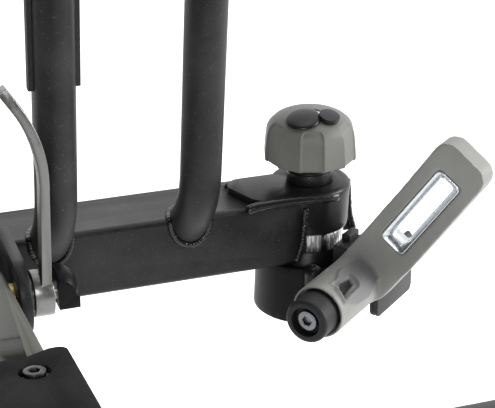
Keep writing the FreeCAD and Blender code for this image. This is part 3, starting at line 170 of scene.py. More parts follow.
def powder(name, color, light, rough, grain, height, specks, gloss=0.2):
    """Powder coat: fine grain in the bump, faint dust, and pale specks: part dust, part painted glints."""
    sheet = Sheet(name)
    fine = sheet.noise(grain, 2.0, 0.6)
    broad = sheet.noise(18.0, 4.0, 0.6)
    # Pale specks in the colour: partly dust, partly painted glints standing in for the coat's sparkle.
    dust_and_glint_speck = sheet.noise(grain * 0.55, 1.0, 0.4).ramp(0.66, 0.76) * specks
    dust = broad.ramp(0.35, 0.75) * 0.35
    sheet.bump(fine + sheet.noise(grain * 0.3, 2.0) * 0.6, height)
    return sheet.set(Base_Color=sheet.blend(dust_and_glint_speck + dust, color, light),
                     Roughness=broad.ramp(0.3, 0.7, rough - 0.06, rough + 0.08),
                     Specular_IOR_Level=gloss)


def moulded(name, color, light, rough, grain=900.0, height=0.00004, gloss=0.3):
    """Moulded plastic or satin paint, with a slight unevenness."""
    sheet = Sheet(name)
    broad = sheet.noise(30.0, 3.0)
    sheet.bump(sheet.noise(grain, 2.0), height)
    return sheet.set(Base_Color=sheet.blend(broad.ramp(0.3, 0.75), color, light),
                     Roughness=broad.ramp(0.3, 0.7, rough - 0.04, rough + 0.06), Specular_IOR_Level=gloss)


def metal(name, color, dark, rough, way=(1.0, 1.0, 1.0), grain=300.0):
    """Bare or plated metal; way stretches the grain along one axis."""
    sheet = Sheet(name)
    lines = sheet.noise(grain, 3.0, 0.7, sheet.stretched(way))
    broad = sheet.noise(25.0, 3.0)
    sheet.bump(lines, 0.00002)
    return sheet.set(Base_Color=sheet.blend(broad.ramp(0.25, 0.8) * 0.6, color, dark),
                     Metallic=1.0, Roughness=lines.ramp(0.2, 0.8, rough - 0.08, rough + 0.1))


def handle_plastic(color):
    """Two-tone moulding: pale blade and darker hub by the tones on the mesh, with painted shade that turns
    the kite pocket near black.
    """
    sheet = Sheet("Handle plastic")
    broad = sheet.noise(30.0, 3.0).ramp(0.3, 0.75)
    blade = sheet.blend(broad, color, (0.250, 0.254, 0.238))
    hub = sheet.blend(broad, (0.150, 0.148, 0.152), (0.175, 0.172, 0.176))
    body = sheet.blend(sheet.tone("hub"), blade, hub)
    sheet.bump(sheet.noise(900.0, 2.0), 0.00004)
    # Painted shade: the pocket tone turns the inside of the kite pocket near black.
    return sheet.set(Base_Color=sheet.blend(sheet.tone("pocket"), body, (0.004, 0.004, 0.005)),
                     Roughness=broad.ramp(0.0, 1.0, 0.44, 0.54), Specular_IOR_Level=0.3)


def make_looks(settings):
    """Every finish of the carrier by its slot or short name."""
    return {
        "frame_paint": powder("Textured powder coat", tuple(settings.paint_color), (0.060, 0.060, 0.062),
                              rough=0.46, grain=1100.0, height=0.00010, specks=0.5, gloss=0.27),
        "fine_paint": powder("Smooth powder coat", (0.005, 0.005, 0.006), (0.022, 0.022, 0.023),
                             rough=0.34, grain=700.0, height=0.00006, specks=0.10, gloss=0.26),
        "cup_paint": powder("Cup paint", (0.004, 0.004, 0.005), (0.014, 0.014, 0.015),
                            rough=0.40, grain=700.0, height=0.00005, specks=0.05, gloss=0.12),
        "rail_paint": powder("Rough rail paint", (0.012, 0.012, 0.012), (0.050, 0.050, 0.050),
                             rough=0.80, grain=900.0, height=0.00012, specks=0.2, gloss=0.08),
        "weld": powder("Painted weld", (0.006, 0.006, 0.007), (0.030, 0.030, 0.030),
                       rough=0.24, grain=420.0, height=0.00022, specks=0.1, gloss=0.5),
        "zinc_plate": metal("Zinc plate", (0.86, 0.86, 0.84), (0.48, 0.48, 0.46), rough=0.28),
        "silver_lever": metal("Brushed aluminium", (0.25, 0.25, 0.245), (0.15, 0.15, 0.148), rough=0.34,
                              way=(1.0, 1.0, 0.04), grain=900.0),
        "opener_steel": metal("Bluish zinc", (0.74, 0.77, 0.79), (0.50, 0.53, 0.56), rough=0.30),
        "socket_steel": metal("Socket steel", (0.24, 0.25, 0.27), (0.08, 0.08, 0.09), rough=0.26),
        "ring_steel": metal("Index ring zinc", (0.90, 0.90, 0.89), (0.60, 0.60, 0.59), rough=0.34),
        "bolt_black": metal("Black oxide", (0.10, 0.10, 0.10), (0.05, 0.05, 0.05), rough=0.34),
        "brass_insert": metal("Turned brass", (0.70, 0.52, 0.24), (0.5, 0.36, 0.16), rough=0.3),
        "spring_steel": metal("Spring wire", (0.45, 0.45, 0.45), (0.3, 0.3, 0.3), rough=0.3),
        "olive_grip": moulded("Warm grey plastic", tuple(settings.grip_color), (0.155, 0.154, 0.143),
                              rough=0.48),
        "handle_plastic": handle_plastic(tuple(settings.handle_color)),
        "olive_cover": moulded("Warm grey cover", (0.100, 0.103, 0.088), (0.120, 0.123, 0.105), rough=0.46),
        "black_plastic": moulded("Black plastic", (0.008, 0.008, 0.009), (0.016, 0.016, 0.017), rough=0.32),
        "black_rubber": moulded("Black rubber", (0.010, 0.010, 0.011), (0.020, 0.020, 0.020), rough=0.55),
    }


# Nodes whose finish differs from their slot's
OWN_LOOKS = {"top_rail": "rail_paint", "hub_screw": "socket_steel", "rail_bolts": "bolt_black",
             "lower_cup": "cup_paint", "index_ring": "ring_steel", "clamp_head": "cup_paint"}
LOOKS = {}


def look(name):
    if not LOOKS:
        LOOKS.update(make_looks(bpy.context.scene.carrier))
    return LOOKS[name]


class CarrierSettings(bpy.types.PropertyGroup):
    paint_color: FloatVectorProperty(name="Paint", description="Powder coat of the frame", subtype="COLOR",
                                     default=(0.010, 0.010, 0.011), min=0.0, max=1.0)
    grip_color: FloatVectorProperty(name="Knob", description="Plastic of the lock knob", subtype="COLOR",
                                    default=(0.125, 0.125, 0.116), min=0.0, max=1.0)
    handle_color: FloatVectorProperty(name="Handle", description="Plastic of the release handle",
                                      subtype="COLOR", default=(0.215, 0.219, 0.205), min=0.0, max=1.0)
    weld_width: FloatProperty(name="Weld width", description="Across a weld bead", default=0.0042,
                              min=0.001, max=0.01, unit="LENGTH")
    weld_ripple: FloatProperty(name="Weld ripple", description="Length of one ripple along a bead",
                               default=0.0024, min=0.001, max=0.01, unit="LENGTH")
    panel_depth: FloatProperty(name="Knob panel depth", description="How deep the grip panels lie",
                               default=0.0010, min=0.0, max=0.003, unit="LENGTH")
    pocket_depth: FloatProperty(name="Pocket depth", description="How far the kite pocket sinks in the hub",
                                default=0.0022, min=0.0, max=0.004, unit="LENGTH")
    lever_grain: FloatProperty(name="Handle mesh size", description="Edge length of the handle's mesh",
                               default=0.00085, min=0.0006, max=0.003, unit="LENGTH")
    spring_turns: IntProperty(name="Spring turns", description="Coils of the latch spring", default=4,
                              min=2, max=12)


# Radius in millimetres that softens the edges of each node
SOFT_EDGES = {
    "swing_arm": 0.4, "hitch_shank": 0.4, "cross_tube": 0.4, "top_plate": 0.9, "lower_cup": 0.8,
    "fold_bracket": 0.8, "clamp_lever": 0.7, "clamp_head": 1.6, "clamp_nut": 0.5, "spine_cover": 0.5,
    "top_rail": 0.7, "rail_bolts": 0.6, "tray_bolts": 0.6, "knob_collar": 0.8, "hub_screw": 0.4,
    "rear_rib": 0.6, "index_ring": 0.15, "pivot_barrel": 0.3, "hinge_knuckle": 0.4, "cover_cap": 0.5,
    "inner_tray": 0.5, "outer_tray": 0.5, "inner_slider": 1.0, "outer_slider": 1.0,
}
SHARP_ANGLE = math.radians(35)
# Points this near to each other become one: on a CAD node, in a copy of one, and in a piece made here
WELD_GAP, COPY_GAP, PIECE_GAP = 0.01, 0.02, 0.002


def soften(item, width):
    """Weld, bevel and smooth the sharp edges of a node."""
    weld = item.modifiers.new("Weld", "WELD")
    weld.merge_threshold = WELD_GAP * MM
    bevel = item.modifiers.new("Bevel", "BEVEL")
    bevel.width = width * MM
    bevel.segments = 2
    bevel.limit_method = "ANGLE"
    bevel.angle_limit = SHARP_ANGLE
    bevel.harden_normals = True
    bevel.miter_outer = "MITER_ARC"
    item.data.polygons.foreach_set("use_smooth", [True] * len(item.data.polygons))


class CARRIER_OT_finish(bpy.types.Operator):
    """Paint every CAD node and soften the edges of those listed in SOFT_EDGES"""
    bl_idname = "carrier.finish"
    bl_label = "Finish the frame"

    def execute(self, context):
        slots = {part["node"]: part["material_slot"] for part in frame["record"]["subparts"]}
        for name, item in frame["nodes"].items():
            item.data.materials.clear()
            item.data.materials.append(look(OWN_LOOKS.get(name, slots[name])))
            if name in SOFT_EDGES:
                soften(item, SOFT_EDGES[name])
        return {"FINISHED"}


def clean_copy(node):
    """A merged copy of a CAD node's mesh, which itself stays as it is."""
    mesh = bpy.data.meshes.new(node + "_copy")
    work = bmesh.new()
    work.from_mesh(frame["nodes"][node].data)
    bmesh.ops.remove_doubles(work, verts=work.verts, dist=COPY_GAP * MM)
    work.to_mesh(mesh)
    work.free()
    return mesh


def modified(name, mesh, kind, **settings):
    """The mesh that one modifier makes of another."""
    item = bpy.data.objects.new(name, mesh)
    bpy.context.scene.collection.objects.link(item)
    change = item.modifiers.new(kind, kind)
    for key, value in settings.items():
        setattr(change, key, value)
    graph = bpy.context.evaluated_depsgraph_get()
    graph.update()
    made = bpy.data.meshes.new_from_object(item.evaluated_get(graph))
    bpy.data.objects.remove(item)
    return made


def relax(spots, edges, rounds, weight):
    """Draw each point towards the middle of its neighbours; weight is one number or one each."""
    count = np.zeros(len(spots))
    np.add.at(count, edges[:, 0], 1)
    np.add.at(count, edges[:, 1], 1)
    for _ in range(rounds):
        total = np.zeros_like(spots)
        np.add.at(total, edges[:, 0], spots[edges[:, 1]])
        np.add.at(total, edges[:, 1], spots[edges[:, 0]])
        spots = spots + (total / count[:, None] - spots) * np.reshape(weight, (-1, 1))
    return spots


def smooth_step(value, low, high):
    part = np.clip((value - low) / (high - low), 0.0, 1.0)
    return part * part * (3 - 2 * part)


def bell(value, middle, width):
    """Smooth bump of height 1 about a middle value."""
    return np.exp(-((value - middle) / width) ** 2)


def read_spots(mesh):
    spots = np.zeros(len(mesh.vertices) * 3)
    mesh.vertices.foreach_get("co", spots)
    return spots.reshape(-1, 3)


def read_edges(mesh):
    edges = np.zeros(len(mesh.edges) * 2, int)
    mesh.edges.foreach_get("vertices", edges)
    return edges.reshape(-1, 2)


def merged(name, *parts):
    """One mesh from lists of points and faces."""
    spots, faces = [], []
    for some_spots, some_faces in parts:
        faces += [tuple(len(spots) + corner for corner in face) for face in some_faces]
        spots += [tuple(spot) for spot in some_spots]
    mesh = bpy.data.meshes.new(name)
    mesh.from_pydata(spots, [], faces)
    work = bmesh.new()
    work.from_mesh(mesh)
    bmesh.ops.remove_doubles(work, verts=work.verts, dist=PIECE_GAP * MM)
    bmesh.ops.recalc_face_normals(work, faces=work.faces)
    work.to_mesh(mesh)
    work.free()
    return mesh


def extruded(outline, place, low, high):
    """Prism over an outline; place turns a point of it and a height into the row frame."""
    count = len(outline)
    spots = [place(*spot, low) for spot in outline] + [place(*spot, high) for spot in outline]
    faces = [tuple(range(count)), tuple(reversed(range(count, 2 * count)))]
    faces += [(step, (step + 1) % count, count + (step + 1) % count, count + step) for step in range(count)]
    return spots, faces


def loop_faces(rows, around, closed):
    """Faces between rows of points that each run once round."""
    return [(row * around + step, row * around + (step + 1) % around,
             (row + 1) % rows * around + (step + 1) % around, (row + 1) % rows * around + step)
            for row in range(rows if closed else rows - 1) for step in range(around)]


def quarter(centre, radius, start, steps=6):
    """Quarter of a circle, anticlockwise from a start angle in degrees."""
    turns = [math.radians(start + 90 * step / steps) for step in range(steps + 1)]
    return [(centre[0] + radius * math.cos(turn), centre[1] + radius * math.sin(turn)) for turn in turns]


def edge_gap(points, outline):
    """Distance from each point to a closed outline, negative inside it."""
    best = np.full(len(points), 1e9)
    inside = np.zeros(len(points), bool)
    for place in range(len(outline)):
        start = np.array(outline[place])
        end = np.array(outline[(place + 1) % len(outline)])
        way = end - start
        share = np.clip(((points - start) @ way) / (way @ way), 0, 1)
        best = np.minimum(best, np.hypot(*(points - start - share[:, None] * way).T))
        crosses = (points[:, 1] > start[1]) != (points[:, 1] > end[1])
        with np.errstate(divide="ignore", invalid="ignore"):
            across = start[0] + (points[:, 1] - start[1]) * way[0] / way[1]
        inside ^= crosses & (points[:, 0] < across)
    return np.where(inside, -best, best)


def frame_body(node):
    """The body that a CAD node rides on."""
    return next(name for name, nodes in frame["record"]["behaviour"]["bodies"].items() if node in nodes)


def finish_piece(name, mesh, slot, body, *nodes, finish=None):
    """Link a mesh as a smooth piece that rides on a body and stands for CAD nodes."""
    mesh.name = name
    mesh.polygons.foreach_set("use_smooth", [True] * len(mesh.polygons))
    mesh.materials.clear()
    mesh.materials.append(look(finish or slot))
    item = bpy.data.objects.new(name, mesh)
    bpy.context.scene.collection.objects.link(item)
    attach(item, body)
    if nodes:
        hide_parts(*nodes)


# Outline of the knob: radius and height off the arm's centre, from the underside out and over the dome
KNOB_EDGE = ((13.2, 57.0), (30.6, 57.0), (31.0, 49.6), (32.6, 48.7), (33.8, 49.0), (34.5, 50.2),
             (34.3, 55.0), (33.8, 61.0), (33.2, 67.0), (32.7, 70.4), (31.9, 72.9), (30.6, 75.2),
             (28.6, 77.6), (25.9, 79.8), (22.2, 81.8), (17.3, 83.5), (10.8, 85.0), (4.9, 85.8),
             (0.0, 86.0))
KNOB_UNDER_ROWS = 3
KNOB_ROWS = 120
KNOB_STEPS = 360
KNOB_TIP = 0.6
KNOB_PANEL_TURN = math.radians(252.0)
KNOB_HALF_PANEL = 8.4
KNOB_ARCH = 78.6
KNOB_ARCH_DROP = 4.5
# Heights over which the facets fade into the dome
FACET_FADE = (70.0, 80.0)
# The dome is part of a ball, with its centre this high
KNOB_DOME = 62.0
DOME_HEIGHT = 24.0


def dome_way(tilt, around):
    """Unit direction out of the knob's dome, by its lean and its turn in degrees."""
    tilt, around = math.radians(tilt), math.radians(around)
    return Vector((math.sin(tilt) * math.cos(around), math.sin(tilt) * math.sin(around), math.cos(tilt)))


COVER_WAY = dome_way(15.0, -130.5)
EAR_WAY = dome_way(17.4, -66.7)
CORE_WAY = dome_way(6.6, -91.8)
CORE_RADIUS = 6.7
CORE_DEPTH = 1.6


def off_dome(way, height):
    """The point at a height over the dome, the way of a unit direction."""
    return at_pivot(*(way * (KNOB_DOME + height) + Vector((0, 0, DOME_HEIGHT))))


def dome_disc(way, profile, around=64):
    """Lathed disc that follows the dome: profile holds reach along the dome and height off it."""
    side = way.orthogonal().normalized()
    spots = []
    for reach, height in profile:
        lean = reach / KNOB_DOME
        for step in range(around):
            turned = Matrix.Rotation(2 * math.pi * step / around, 3, way) @ side
            spots.append(off_dome(way * math.cos(lean) + turned * math.sin(lean), height))
    return spots, loop_faces(len(profile), around, False)


def knob_rows():
    """Radius and height of each row of points, with the outline's corners above the rim eased."""
    edge = np.array(KNOB_EDGE)
    run = np.concatenate(([0.0], np.cumsum(np.hypot(*np.diff(edge, axis=0).T))))
    rows = np.concatenate((run[:KNOB_UNDER_ROWS],
                           np.linspace(run[KNOB_UNDER_ROWS], run[-1] - KNOB_TIP, KNOB_ROWS)))
    made = [np.interp(rows, run, edge[:, part]) for part in (0, 1)]
    for values in made * 3:
        values[4:-1] = (values[3:-2] + 2 * values[4:-1] + values[5:]) / 4
    return made


class CARRIER_OT_knob(bpy.types.Operator):
    """Lock knob with six sunk grip panels under a soft dome"""
    bl_idname = "carrier.knob"
    bl_label = "Lock knob"

    def execute(self, context):
        depth = context.scene.carrier.panel_depth / MM
        half_facet, half_panel = math.pi / 12, math.pi / 6
        turns = np.arange(KNOB_STEPS) * 2 * math.pi / KNOB_STEPS
        facet = (turns - KNOB_PANEL_TURN + half_facet) % (2 * half_facet) - half_facet
        panel = (turns - KNOB_PANEL_TURN + half_panel) % (2 * half_panel) - half_panel
        flat = math.cos(half_facet) / np.cos(facet)
        radii, heights = knob_rows()
        spots = []
        for place, (radius, height) in enumerate(zip(radii, heights)):
            if place < KNOB_UNDER_ROWS:
                spots += [(radius * math.cos(turn), radius * math.sin(turn), height) for turn in turns]
                continue
            size = radius * (1 + (flat - 1) * (1 - smooth_step(height, *FACET_FADE)))
            side = np.abs(radius * np.tan(panel))
            arch = KNOB_ARCH - KNOB_ARCH_DROP * (np.clip(side, 0, KNOB_HALF_PANEL) / KNOB_HALF_PANEL) ** 6
            inside = 1 - smooth_step(side, KNOB_HALF_PANEL - 0.5, KNOB_HALF_PANEL + 0.4)
            inside *= (np.abs(panel) < half_panel) * (1 - smooth_step(height, arch - 0.9, arch + 0.5))
            size = size - depth * inside
            low = height - depth * inside * smooth_step(height, 74.0, 80.0) * 0.8
            spots += list(zip(size * np.cos(turns), size * np.sin(turns), low))
        faces = loop_faces(len(radii), KNOB_STEPS, False)
        last, top = len(spots) - KNOB_STEPS, len(spots)
        for step in range(KNOB_STEPS):
            after = (step + 1) % KNOB_STEPS
            faces += [(last + step, last + after, top), (after, step, top + 1)]
        spots += [(0.0, 0.0, KNOB_EDGE[-1][1]), (0.0, 0.0, KNOB_EDGE[0][1])]
        spots = np.array(spots)
        core = np.array(CORE_WAY) * KNOB_DOME + (0.0, 0.0, DOME_HEIGHT)
        sunk = (np.hypot(*(spots - core)[:, :2].T) < CORE_RADIUS) & (spots[:, 2] > FACET_FADE[0])
        spots[sunk, 2] -= CORE_DEPTH
        mesh = bpy.data.meshes.new("grip_knob")
        mesh.from_pydata([tuple(at_pivot(*spot)) for spot in spots], [], faces)
        finish_piece("grip_knob", mesh, "olive_grip", "knob", "clamp_knob")
        return {"FINISHED"}


# Profiles of the cover's two discs: reach along the dome and height off it
COVER_PROFILE = ((0.001, 3.3), (5.0, 3.2), (9.5, 2.9), (11.4, 2.55), (12.3, 2.0), (12.7, 1.5), (12.7, 0.8),
                 (0.001, 0.8))
EAR_PROFILE = ((0.001, 1.9), (6.4, 1.9), (6.8, 1.5), (6.8, 0.15), (0.001, 0.15))
# Section of the neck between them: half width and height off the dome
NECK_SECTION = ((-3.4, 0.2), (-3.4, 1.5), (-3.0, 1.85), (3.0, 1.85), (3.4, 1.5), (3.4, 0.2))
NECK_STEPS = 4


class CARRIER_OT_cover(bpy.types.Operator):
    """Swivelling lock cover with its ear under the cap"""
    bl_idname = "carrier.cover"
    bl_label = "Lock cover"

    def execute(self, context):
        along = (EAR_WAY - COVER_WAY).normalized()
        neck = []
        for step in range(NECK_STEPS + 1):
            way = COVER_WAY.lerp(EAR_WAY, step / NECK_STEPS).normalized()
            across = way.cross(along)
            neck += [off_dome((way * KNOB_DOME + across * aside).normalized(), height)
                     for aside, height in NECK_SECTION]
        mesh = merged("lock_lid", dome_disc(COVER_WAY, COVER_PROFILE), dome_disc(EAR_WAY, EAR_PROFILE),
                      (neck, loop_faces(NECK_STEPS + 1, len(NECK_SECTION), False)))
        finish_piece("lock_lid", mesh, "black_plastic", "keycover", "lock_cover")
        return {"FINISHED"}


# The kite-shaped pocket on the hub: degrees about the hub, and millimetres along it
KITE = ((72.0, -80.5), (61.5, -60.5), (41.5, -61.0), (31.5, -84.0))
# The raised brow round the pocket, in the same terms
HUMP = ((73.9, -77.5), (90.0, -62.1), (87.0, -53.3), (84.2, -45.9), (80.8, -38.4), (66.8, -34.0),
        (49.5, -34.0), (30.4, -34.0), (20.7, -36.3), (8.6, -45.0), (-2.2, -53.0), (4.0, -70.0),
        (28.0, -87.0), (58.0, -86.0))
# Millimetres of the hub's skin to one degree
SKIN_ARC = math.radians(19.5)
# Where the blade runs into the hub: distance from the hub's axis, and place along it
COLLAR_REACH, COLLAR_Y = 20.5, -38.0
SKIN_REACH = (18.2, 19.0)
HUB_TONE_REACH = (20.5, 22.5)
POCKET_REACH = 11.0
POCKET_Y = -45.0
RIM_HEIGHT = 0.9
BROW_EDGE = 0.5
HANDLE_TURN = math.radians(55)


class CARRIER_OT_lever(bpy.types.Operator):
    """Release handle as one soft moulding: rounded edges, raised hub and kite pocket rim"""
    bl_idname = "carrier.lever"
    bl_label = "Release handle"

    def execute(self, context):
        settings = context.scene.carrier
        mesh = modified("handle", clean_copy("release_lever"), "REMESH", mode="VOXEL",
                        voxel_size=settings.lever_grain)
        turn = np.array(Matrix.Rotation(-HUB_TURN, 3, "Z"))
        spots = (read_spots(mesh) - np.array(PIVOT)) / MM @ turn.T
        edges = read_edges(mesh)
        off = spots - np.array(HUB)
        collar = bell(np.hypot(off[:, 0], off[:, 2]), COLLAR_REACH, 5.0) * bell(spots[:, 1], COLLAR_Y, 6.0)
        spots = relax(spots, edges, 5, 0.5)
        spots = relax(spots, edges, 30, 0.55 * collar)
        off = spots - np.array(HUB)
        reach = np.hypot(off[:, 0], off[:, 2])
        along = spots[:, 1]
        plan = np.stack((np.degrees(np.arctan2(off[:, 2], off[:, 0])) * SKIN_ARC, along), 1)
        gap, brow = (edge_gap(plan, [(degrees * SKIN_ARC, y) for degrees, y in outline])
                     for outline in (KITE, HUMP))
        skin = smooth_step(reach, *SKIN_REACH) * (along < COLLAR_Y + 2.0)
        rim = bell(gap, 1.4, 1.1) * RIM_HEIGHT
        hump = smooth_step(-brow, -0.4, 1.0) + bell(brow, -1.0, 0.8) * BROW_EDGE
        deep = smooth_step(-gap, 0.2, 1.4) * (reach > POCKET_REACH) * (along < POCKET_Y)
        rise = skin * (rim + hump * (gap > 0)) - deep * settings.pocket_depth / MM
        tip = np.hypot(*(plan - (KITE[0][0] * SKIN_ARC, KITE[0][1])).T)
        # The pocket tone marks painted shade inside the sunk kite pocket.
        tones = {"hub": skin * smooth_step(-brow, -0.6, 2.0) * (1 - smooth_step(reach, *HUB_TONE_REACH)),
                 "pocket": deep * smooth_step(tip, 5.5, 8.0)}
        spots[:, (0, 2)] += off[:, (0, 2)] * (rise / np.maximum(reach, 1))[:, None]
        spots = relax(spots, edges, 2, 0.5) @ turn * MM + np.array(PIVOT)
        mesh.vertices.foreach_set("co", spots.ravel())
        for name, values in tones.items():
            mesh.attributes.new(name, "FLOAT", "POINT").data.foreach_set("value", values.astype(np.float32))
        mesh.update()
        finish_piece("release_handle", mesh, "olive_grip", "lever", "release_lever",
                     finish="handle_plastic")
        return {"FINISHED"}


# Loops of the opener's frame in turn: half length, half width, corner radius, and place along the hub
OPENER_LOOPS = ((36.9, 10.4, 3.9, -35.8), (36.4, 9.9, 3.7, -36.6), (35.8, 9.4, 3.5, -36.4),
                (31.7, 5.8, 2.6, -32.6), (31.3, 5.4, 2.4, -22.0), (36.9, 10.4, 3.9, -21.4))
# Middle of the handle's window, along the handle from the hub and aside
WINDOW_ALONG, WINDOW_ASIDE = 81.0, -2.6


def window_loop(half_long, half_wide, corner, y):
    """Rounded rectangle about the handle's window, at one place along the hub."""
    long, wide = half_long - corner, half_wide - corner
    spots = []
    for place, (along, aside) in enumerate(((long, wide), (-long, wide), (-long, -wide), (long, -wide))):
        for s, w in quarter((WINDOW_ALONG + along, WINDOW_ASIDE + aside), corner, 90 * place, 10):
            spots.append(at_hub(HUB.x + s * math.cos(HANDLE_TURN) - w * math.sin(HANDLE_TURN), y,
                                HUB.z + s * math.sin(HANDLE_TURN) + w * math.cos(HANDLE_TURN)))
    return spots


class CARRIER_OT_opener(bpy.types.Operator):
    """Pressed metal frame with a sloped face in the handle's window"""
    bl_idname = "carrier.opener"
    bl_label = "Opener frame"

    def execute(self, context):
        loops = [window_loop(*sizes) for sizes in OPENER_LOOPS]
        mesh = merged("opener_ring", (sum(loops, []), loop_faces(len(loops), len(loops[0]), True)))
        finish_piece("opener_ring", mesh, "zinc_plate", "lever", "opener_frame", finish="opener_steel")
        return {"FINISHED"}


# The latch housing in the hub's frame: block and lug by their outlines from above
HOUSING_SIDE, HOUSING_FAR, PLATE_FAR = -17.8, 28.0, 40.0
HOUSING_LOW, HOUSING_TOP, PLATE_LOW = -46.0, -9.2, -60.0
FLAP_IN, PLATE_IN, PLATE_OUT = 61.6, 65.1, 68.2
HOUSING_OUTLINE = ((30.0, HOUSING_SIDE), (66.0, HOUSING_SIDE), (66.0, HOUSING_FAR), (52.0, HOUSING_FAR),
                   (30.0, -1.0))
# Outline of the plate's top edge as seen from outside: along y and up
PLATE_TOP = ((PLATE_FAR, -16.0), (34.0, HOUSING_TOP), (-15.0, HOUSING_TOP), (HOUSING_SIDE, -12.0))
NEAR_CORNER, FAR_CORNER = 6, 5
LUG_OUTLINE = ((31.0, -6.0), (38.0, -6.0), (38.0, 9.0), (31.5, 9.0))
LUG_LOW, LUG_TOP = -16.2, -4.5
HOUSING_EDGE = 0.9


def upright(y, z, x):
    """A point of an upright outline, seen from outside the hub, at a distance out."""
    return at_hub(x, y, z)


class CARRIER_OT_housing(bpy.types.Operator):
    """Latch housing: a block behind the handle with a wide outer plate"""
    bl_idname = "carrier.housing"
    bl_label = "Latch housing"

    def execute(self, context):
        bottom = (quarter((HOUSING_SIDE + NEAR_CORNER, PLATE_LOW + NEAR_CORNER), NEAR_CORNER, 180)
                  + quarter((PLATE_FAR - FAR_CORNER, PLATE_LOW + FAR_CORNER), FAR_CORNER, 270))
        brink = [(PLATE_FAR, HOUSING_LOW + 0.5), (HOUSING_SIDE, HOUSING_LOW + 0.5)]
        mesh = merged("latch_shell", extruded(HOUSING_OUTLINE, at_hub, HOUSING_LOW, HOUSING_TOP),
                      extruded(bottom + list(PLATE_TOP), upright, PLATE_IN, PLATE_OUT),
                      extruded(bottom + brink, upright, FLAP_IN, PLATE_IN + 0.3),
                      extruded(LUG_OUTLINE, at_hub, LUG_LOW, LUG_TOP))
        mesh = modified("latch_shell", mesh, "BEVEL", width=HOUSING_EDGE * MM, segments=3,
                        limit_method="ANGLE")
        finish_piece("latch_shell", mesh, "fine_paint", "arm", "latch_housing", finish="frame_paint")
        return {"FINISHED"}


class Tree:
    """A geometry node tree with named inputs, ended in Realize Instances and Set Material."""

    def __init__(self, name, **inputs):
        self.tree = bpy.data.node_groups.new(name, "GeometryNodeTree")
        inputs = {"Geometry": "Geometry", **inputs}
        for label, kind in inputs.items():
            self.tree.interface.new_socket(label, in_out="INPUT", socket_type="NodeSocket" + kind)
        self.tree.interface.new_socket("Geometry", in_out="OUTPUT", socket_type="NodeSocketGeometry")
        self.start = self.tree.nodes.new("NodeGroupInput").outputs

    def node(self, kind, settings=None, out=0, **inputs):
        return add_node(self.tree, kind, settings, **inputs).outputs[out]

    def end(self, geometry, slot):
        """Close the tree with the finish of its piece."""
        joined = self.node("GeometryNodeRealizeInstances", Geometry=geometry)
        smooth = self.node("GeometryNodeSetShadeSmooth", Geometry=joined)
        done = self.node("GeometryNodeSetMaterial", Geometry=smooth, Material=look(slot))
        add_node(self.tree, "NodeGroupOutput", Geometry=done)

    def apply(self, data, **values):
        """The plain mesh that the tree makes of a curve or mesh."""
        item = bpy.data.objects.new("work", data)
        bpy.context.scene.collection.objects.link(item)
        change = item.modifiers.new("Nodes", "NODES")
        change.node_group = self.tree
        for socket in self.tree.interface.items_tree:
            if socket.item_type == "SOCKET" and socket.in_out == "INPUT" and socket.name in values:
                change[socket.identifier] = values[socket.name]
        graph = bpy.context.evaluated_depsgraph_get()
        graph.update()
        made = bpy.data.meshes.new_from_object(item.evaluated_get(graph))
        bpy.data.objects.remove(item)
        return made


def bead_tree():
    """A weld bead along each curve, with ripples and an uneven edge."""
    tree = Tree("Weld beads", Width="Float", Ripple="Float", Rough="Float")
    width, ripple, rough = (tree.start[name] for name in ("Width", "Ripple", "Rough"))

    def maths(operation, *values):
        return tree.node("ShaderNodeMath", {"operation": operation},
                         **{f"_{place}": value for place, value in enumerate(values)})

    path = tree.node("GeometryNodeResampleCurve", {"mode": "LENGTH"}, Curve=tree.start["Geometry"],
                     Length=maths("MULTIPLY", ripple, 0.25))
    along = tree.node("GeometryNodeSplineParameter", out="Length")
    wave = maths("FRACT", maths("DIVIDE", along, ripple))
    uneven = tree.node("ShaderNodeTexNoise", Vector=tree.node("GeometryNodeInputPosition"), Scale=260.0,
                       Detail=1.0)
    shape = maths("MULTIPLY_ADD", maths("MULTIPLY_ADD", wave, 0.3, uneven), rough, 0.75)
    ring = tree.node("GeometryNodeCurvePrimitiveCircle", Resolution=8, Radius=1.0)
    tree.end(tree.node("GeometryNodeCurveToMesh", Curve=path, Profile_Curve=ring, Fill_Caps=True,
                       Scale=maths("MULTIPLY", shape, maths("MULTIPLY", width, 0.5))), "weld")
    return tree


def path_curve(name, paths):
    """Poly curves through lists of points."""
    curve = bpy.data.curves.new(name, "CURVE")
    curve.dimensions = "3D"
    for points in paths:
        spline = curve.splines.new("POLY")
        spline.points.add(len(points) - 1)
        for place, point in enumerate(points):
            spline.points[place].co = (*point, 1.0)
    return curve


def ring_path(centre, radius, start=0.0, end=360.0, steps=40):
    """Level arc about a point, in millimetres off the pivot."""
    turns = [math.radians(start + (end - start) * step / steps) for step in range(steps + 1)]
    return [at_pivot(centre[0] + radius * math.cos(turn), centre[1] + radius * math.sin(turn), centre[2])
            for turn in turns]


def line_path(first, last, steps=12):
    """Straight path between two points, in millimetres off the pivot."""
    return [at_pivot(*(Vector(first).lerp(Vector(last), step / steps))) for step in range(steps + 1)]


def smooth_path(points, steps=6):
    """A path eased through points, in millimetres off the pivot."""
    points = [Vector(point) for point in points]
    spots = []
    for place in range(len(points) - 1):
        before, start, end, after = (points[max(0, min(len(points) - 1, place + shift))]
                                     for shift in (-1, 0, 1, 2))
        for step in range(steps):
            t = step / steps
            spots.append(0.5 * (2 * start + (end - before) * t
                                + (2 * before - 5 * start + 4 * end - after) * t * t
                                + (3 * start - before - 3 * end + after) * t ** 3))
    return [at_pivot(*spot) for spot in spots + [points[-1]]]


# Where the legs of the mast hoops stand along the arm, and how far their welds reach from the middle
TUBE_FEET = (-460.0, -359.0, -201.0, -100.0)
FOOT_REACH = 15.0
ARM_FRONT = -25.4


